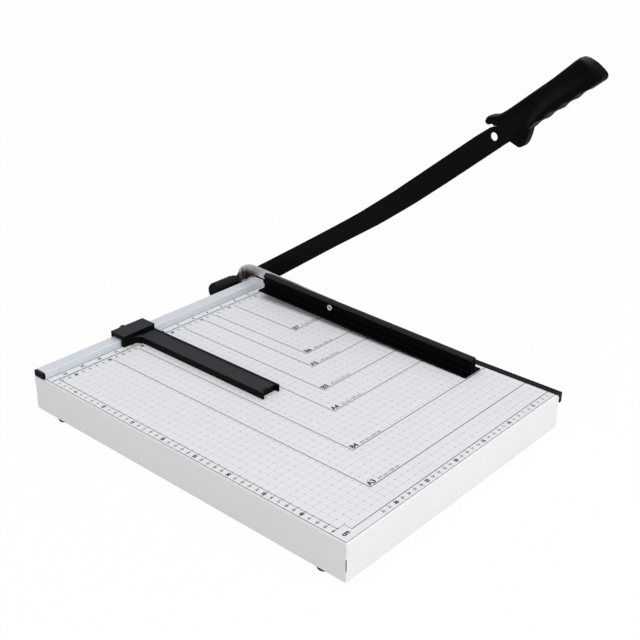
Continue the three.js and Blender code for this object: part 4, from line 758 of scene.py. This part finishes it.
# %% Screw recesses
HANDLE_HEAD = ((0, 90, 0), "x", "highest", 4.2 * MM)
BRACKET_HEAD = ((90, 0, 0), "y", "highest", 5.6 * MM)
HEAD_BELOW = ((0, 0, 0), "z", "lowest", 3.6 * MM)
HEADS = {
    "handle_screw_1": HANDLE_HEAD, "handle_screw_2": HANDLE_HEAD,
    "bracket_bolt_1": BRACKET_HEAD, "bracket_bolt_2": BRACKET_HEAD,
    "foot_screw_1": HEAD_BELOW, "foot_screw_2": HEAD_BELOW,
    "foot_screw_3": HEAD_BELOW, "foot_screw_4": HEAD_BELOW,
    "fence_screw_1": HEAD_BELOW, "fence_screw_2": HEAD_BELOW, "fence_screw_3": HEAD_BELOW,
}


def recess(name, turn, axis, end, size):
    low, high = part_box(name)
    centre = (low + high) / 2
    setattr(centre, axis, getattr(high if end == "highest" else low, axis))
    piece = cross(name + "_recess", centre, turn, size)
    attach(piece, body_of(name))
    return piece


recesses = [recess(name, *head) for name, head in HEADS.items()]
print("recesses:", len(recesses))

# %% [markdown]
# ## Printing on the bed
#
# The printing is ink on paint: too thin to model as a solid, but it must stay sharp. So each mark
# is a flat sliver that lies a few hundredths of a millimetre above the paint. The lines and
# figures are black, and the dots and small words are printed in a fainter grey.

# %% Ink
def printers_ink(name, darkest, lightest):
    ink = Finish(name, IOR=1.45)
    wear = ink.noise(1500)
    colour = ink.blend(wear, grey(darkest), grey(lightest))
    return ink.set(Base_Color=colour, Roughness=0.5 + wear * 0.1).material


black_ink = printers_ink("printing_ink", 0.006, 0.018)
grey_ink = printers_ink("faint_printing_ink", 0.20, 0.28)
print("made", black_ink.name, "and", grey_ink.name)

# %% [markdown]
# ### Marks and lines
#
# Everything on the bed is placed by its distances, in millimetres, to the fence and to the shear
# edge, because that is how paper lies on it. One tick is made from a plane, and an Array modifier
# repeats it, as a printer's plate would.

# %% Marks and lines
FENCE_LINE = 0.21097
SHEAR_LINE = 0.1868
BED_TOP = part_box("base_shell")[1].z
INK_LIFT = 0.05 * MM


def on_bed(from_fence, from_shear):
    """A place on the printed bed."""
    return SHEAR_LINE - from_shear * MM, FENCE_LINE - from_fence * MM, BED_TOP + INK_LIFT


def mark(from_fence, from_shear, length_x, length_y, material=black_ink):
    """One flat rectangle of ink about a place on the bed."""
    bpy.ops.mesh.primitive_plane_add(size=1, location=on_bed(from_fence, from_shear))
    piece = bpy.context.object
    piece.scale = (length_x * MM, length_y * MM, 1)
    piece.data.materials.append(material)
    return settle(piece)


def line_across(from_fence, start, end, width):
    """A line along X between two distances to the shear edge, the farther one first."""
    return mark(from_fence, (start + end) / 2, start - end, width)


def line_along(from_shear, start, end, width):
    """A line along Y between two distances to the fence, the nearer one first."""
    return mark((start + end) / 2, from_shear, width, end - start)


def repeat(piece, count, step_x, step_y):
    """Repeats the piece with an Array modifier."""
    alone(piece)
    array = piece.modifiers.new("repeat", "ARRAY")
    array.use_relative_offset = False
    array.use_constant_offset = True
    array.constant_offset_displace = (step_x * MM, step_y * MM, 0)
    array.count = count
    bpy.ops.object.modifier_apply(modifier="repeat")
    return piece


print("bed top at", BED_TOP, "m")

# %% [markdown]
# ### Figures
#
# A figure starts as a text object. It is made a mesh before its place is applied, and a small
# offset of its outline gives it the weight of a bold or a plain type. What belongs together
# becomes one piece that rides on the base.

# %% Figures and plates
BOLD_SPREAD = 0.34 * MM
PLAIN_SPREAD = 0.12 * MM


def figure(text, from_fence, from_shear, size, bold=False, material=black_ink, align="CENTER"):
    """A printed figure or word that reads from the front edge."""
    bpy.ops.object.text_add(location=on_bed(from_fence, from_shear))
    words = bpy.context.object.data
    words.body = text
    words.size = size * MM
    words.align_x = align
    words.align_y = "CENTER"
    words.resolution_u = 3
    words.offset = BOLD_SPREAD if bold else PLAIN_SPREAD
    bpy.ops.object.convert(target="MESH")
    piece = bpy.context.object
    piece.data.materials.append(material)
    return settle(piece)


def printed(name, pieces):
    """Joins marks into one named piece that is printed on the tray."""
    plate = joined(name, pieces)
    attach(plate, "base")
    return plate


print("figures ready")

# %% [markdown]
# ### Dotted grid
#
# Dotted lines, ten millimetres apart each way, help to line up odd sizes. Their dots follow each
# other every two millimetres, and a larger dot marks each crossing. One dot becomes a row, and
# the row becomes the grid.

# %% Dotted grid
GRID_STEP = 10
GRID_START, GRID_LEFT = 20, 370
ROWS, COLUMNS = 43, 36
DOT_STEP = 2
DOTS_ACROSS, DOTS_ALONG = 176, 213
DOT_LENGTH, DOT_WIDTH = 0.58, 0.32
CROSSING = 1.1


def grid():
    dot = mark(GRID_START, GRID_LEFT, DOT_LENGTH, DOT_WIDTH, grey_ink)
    across = repeat(repeat(dot, DOTS_ACROSS, DOT_STEP, 0), ROWS, 0, -GRID_STEP)
    dot = mark(GRID_START + DOT_STEP, GRID_LEFT, DOT_WIDTH, DOT_LENGTH, grey_ink)
    along = repeat(repeat(dot, DOTS_ALONG, 0, -DOT_STEP), COLUMNS, GRID_STEP, 0)
    dot = mark(GRID_START, GRID_LEFT, CROSSING, CROSSING, grey_ink)
    crossings = repeat(repeat(dot, COLUMNS, GRID_STEP, 0), ROWS, 0, -GRID_STEP)
    return printed("print_dotted_grid", [across, along, crossings])


dotted_grid = grid()
print("grid faces:", len(dotted_grid.data.polygons))

# %% [markdown]
# ### Paper outlines
#
# Two lines mark the front and the left edge of each standard sheet, whose other edges lie on the
# fence and on the shear edge. The name of the sheet stands in the corner with its size in small
# figures.

# %% Paper outlines
SHEETS = {
    "A3": (420, 297), "B4": (364, 257), "A4": (297, 210), "B5": (257, 182),
    "A5": (210, 148), "B6": (182, 128), "B7": (128, 91),
}
OUTLINE_START = 20
OUTLINE_WIDTH = 0.9
SHEAR_MARGIN = 11
NAME_INSET, NAME_SIZE = (4.5, 7.2), 9.2
WORDS_INSET, WORDS_SIZE = (3.4, 16.5), 4.4


def outline(length, width):
    return [
        line_across(length, width, SHEAR_MARGIN, OUTLINE_WIDTH),
        line_along(width, OUTLINE_START, length, OUTLINE_WIDTH),
    ]


def sheet_name(name, length, width):
    up, right = NAME_INSET
    words_up, words_right = WORDS_INSET
    size = f"{width} mm x {length} mm"
    return [
        figure(name, length - up, width - right, NAME_SIZE, bold=True),
        figure(size, length - words_up, width - words_right, WORDS_SIZE, False, grey_ink, "LEFT"),
    ]


printed("print_paper_outlines", [line for size in SHEETS.values() for line in outline(*size)])
printed("print_paper_names", [m for name, size in SHEETS.items() for m in sheet_name(name, *size)])
print("sheets:", ", ".join(SHEETS))

# %% [markdown]
# ### Borders of the rulers
#
# The rulers run in bands between two lines, along the left edge, the front edge and the fence.
# Where the left and the front band meet, a small box in the corner names the unit.

# %% Borders
LEFT_BAND = (371.0, 381.1)
FRONT_BAND = (450.2, 460.1)
FENCE_BAND = (1.0, 10.9)
FENCE_BAND_END = 18
CORNER_BOX = 9.5
OUTER_LINE, INNER_LINE, SIDE_LINE, BOX_LINE = 0.4, 0.8, 0.6, 0.45
FENCE_OUTER_LINE, FENCE_INNER_LINE = 0.8, 0.9
UNIT_INSET, UNIT_SIZE = 0.2, 7.5


def borders():
    left_inner, left_outer = LEFT_BAND
    front_inner, front_outer = FRONT_BAND
    fence_outer, fence_inner = FENCE_BAND
    box_left = left_inner - CORNER_BOX
    box_front = front_inner - CORNER_BOX
    return [
        line_across(front_outer, left_outer, SHEAR_MARGIN, OUTER_LINE),
        line_across(front_inner, box_left, SHEAR_MARGIN, INNER_LINE),
        line_along(left_outer, fence_outer, front_outer, SIDE_LINE),
        line_along(left_inner, fence_inner, box_front, SIDE_LINE),
        line_across(box_front, left_inner, box_left, BOX_LINE),
        line_along(box_left, box_front, front_inner, BOX_LINE),
        line_across(fence_outer, left_outer, FENCE_BAND_END, FENCE_OUTER_LINE),
        line_across(fence_inner, left_outer, FENCE_BAND_END, FENCE_INNER_LINE),
        figure("cm", front_inner + UNIT_INSET, left_inner - UNIT_INSET, UNIT_SIZE, bold=True),
    ]


border_print = printed("print_borders", borders())
print("made", border_print.name)

# %% [markdown]
# ### Centimetre rulers
#
# The left and the front band carry centimetres, with a tick on each side of every figure. Every
# fifth figure is larger and bolder, so that the eye finds its place.

# %% Centimetre rulers
CENTIMETRE = 10
LARGE_FIGURE, SMALL_FIGURE = 5.4, 4.2
TICK_WIDTH = 0.35
LEFT_TICKS_START, LEFT_TICKS = 20, 43
FRONT_TICKS_START, FRONT_TICKS = 320, 31


def figures(numbers, place, large=LARGE_FIGURE, small=SMALL_FIGURE):
    """Centimetre figures, each at the place that its distance in millimetres gives."""
    made = []
    for number in numbers:
        fifth = number % 5 == 0
        size = large if fifth else small
        made.append(figure(str(number), *place(number * CENTIMETRE), size, fifth))
    return made


def left_ruler():
    inner, outer = LEFT_BAND
    ticks = [
        repeat(mark(LEFT_TICKS_START, across, length, TICK_WIDTH), LEFT_TICKS, 0, -CENTIMETRE)
        for across, length in ((inner + 1.4, 2.6), (outer - 1.2, 2.2))
    ]
    return ticks + figures(range(1, 45), lambda distance: (distance, (inner + outer) / 2))


def front_ruler():
    inner, outer = FRONT_BAND
    ticks = [
        repeat(mark(along, FRONT_TICKS_START, TICK_WIDTH, length), FRONT_TICKS, CENTIMETRE, 0)
        for along, length in ((inner + 1.3, 2.4), (outer - 1.1, 2.0))
    ]
    return ticks + figures(range(2, 33), lambda distance: ((inner + outer) / 2, distance))


rulers = [printed("print_left_ruler", left_ruler()), printed("print_front_ruler", front_ruler())]
print("made", [ruler.name for ruler in rulers])

# %% [markdown]
# ### Rulers along the fence
#
# The band at the fence carries inches, with a tick every half inch. In front of it stand
# millimetre ticks, longer every five millimetres, with their own row of centimetre figures.

# %% Fence rulers
INCH = 25.4
HALF_INCH = INCH / 2
INCH_FIGURE, INCH_ROW, INCH_SHIFT = 5.0, 5.8, 2.6
CENTIMETRE_ROW, LARGE_IN_ROW, SMALL_IN_ROW = 17.0, 5.0, 3.6
TICK_ROWS = (
    # from the fence, from the shear edge, width, length, how many, step
    (9.2, 29 * HALF_INCH, 0.3, 3.0, 28, HALF_INCH),
    (2.0, 29 * HALF_INCH, 0.3, 2.4, 28, HALF_INCH),
    (12.0, 370, 0.25, 2.0, 350, 1),
    (12.8, 370, 0.32, 3.6, 70, 5),
)


def fence_rulers():
    marks = [repeat(mark(*tick), count, step, 0) for *tick, count, step in TICK_ROWS]
    for inch in range(1, 15):
        marks.append(figure(str(inch), INCH_ROW, inch * INCH + INCH_SHIFT, INCH_FIGURE, bold=True))
    row = (range(2, 38), lambda distance: (CENTIMETRE_ROW, distance), LARGE_IN_ROW, SMALL_IN_ROW)
    return marks + figures(*row)


fence_print = printed("print_fence_rulers", fence_rulers())
print("made", fence_print.name)

# %% [markdown]
# ## Floor
#
# The photograph has a white ground. The floor isn't part of the object. To the camera it is nearly
# all glow, with a little plain paper mixed in, which takes the object's shadow. What metal and
# gloss mirror of it glows half as much.

# %% Floor
FLOOR_SIZE = 14
FLOOR_DROP = 0.2 * MM
GLOW_IN_GLOSS = 0.5
GLOW_SEEN = 0.97


def stage_floor():
    bpy.ops.mesh.primitive_plane_add(size=FLOOR_SIZE, location=(0, 0, -FLOOR_DROP))
    floor = bpy.context.object
    floor.name = "studio_floor"
    paper = Finish("studio_paper", Base_Color=grey(0.82), Roughness=0.9)
    camera_ray = paper.node("ShaderNodeLightPath", output="Is Camera Ray")
    glossy_ray = paper.node("ShaderNodeLightPath", output="Is Glossy Ray")
    glow = paper.node("ShaderNodeEmission", {}, {"Color": grey(1), "Strength": 1.0})
    seen = (camera_ray + glossy_ray * GLOW_IN_GLOSS).clamped() * GLOW_SEEN
    paper.surface(paper.node("ShaderNodeMixShader", {}, {0: seen, 1: paper.shader, 2: glow}))
    floor.data.materials.append(paper.material)
    return floor


print("made", stage_floor().name)

# %% [markdown]
# ## World and lamps
#
# The light in the photograph is soft and has no hard shadow. Most of it comes from all round, so
# the world gives an even, slightly cool light, though the camera sees it as plain white. Three
# large round lamps shape the object: one in front lights the front wall, one above lights the
# bed, and a weak one on the left keeps the left wall from going dull.

# %% World and lamps
SKY_COLOUR = (0.95, 0.97, 1.0, 1)
SKY_STRENGTH = 0.60
LAMPS = {
    "key_lamp": ((0.3, -2.4, 1.0), (0, -0.1, 0.1), 2.6, 35),
    "top_lamp": ((-0.5, 0.2, 2.5), (0, 0, 0.05), 2.6, 23),
    "fill_lamp": ((-2.3, -0.4, 0.9), (0, 0, 0.05), 2.4, 5),
}


def studio_world():
    world = bpy.data.worlds.new("studio")
    world.use_nodes = True
    graph = Graph(world.node_tree, "ShaderNodeOutputWorld")
    camera_ray = graph.node("ShaderNodeLightPath", output="Is Camera Ray")
    sky = graph.node("ShaderNodeBackground", {}, {"Color": SKY_COLOUR, "Strength": SKY_STRENGTH})
    white = graph.node("ShaderNodeBackground", {}, {"Color": grey(1)})
    graph.surface(graph.node("ShaderNodeMixShader", {}, {0: camera_ray, 1: sky, 2: white}))
    bpy.context.scene.world = world


def lamp(name, place, aim, size, power):
    """A round lamp in metres and watts, turned to the point it aims at."""
    light = bpy.data.lights.new(name, "AREA")
    light.shape = "DISK"
    light.size = size
    light.energy = power
    stand = bpy.data.objects.new(name, light)
    stand.location = place
    stand.rotation_euler = (Vector(aim) - Vector(place)).to_track_quat("-Z", "Y").to_euler()
    bpy.context.scene.collection.objects.link(stand)
    return stand


studio_world()
lamps = [lamp(name, *how) for name, how in LAMPS.items()]
print("lamps:", ", ".join(stand.name for stand in lamps))
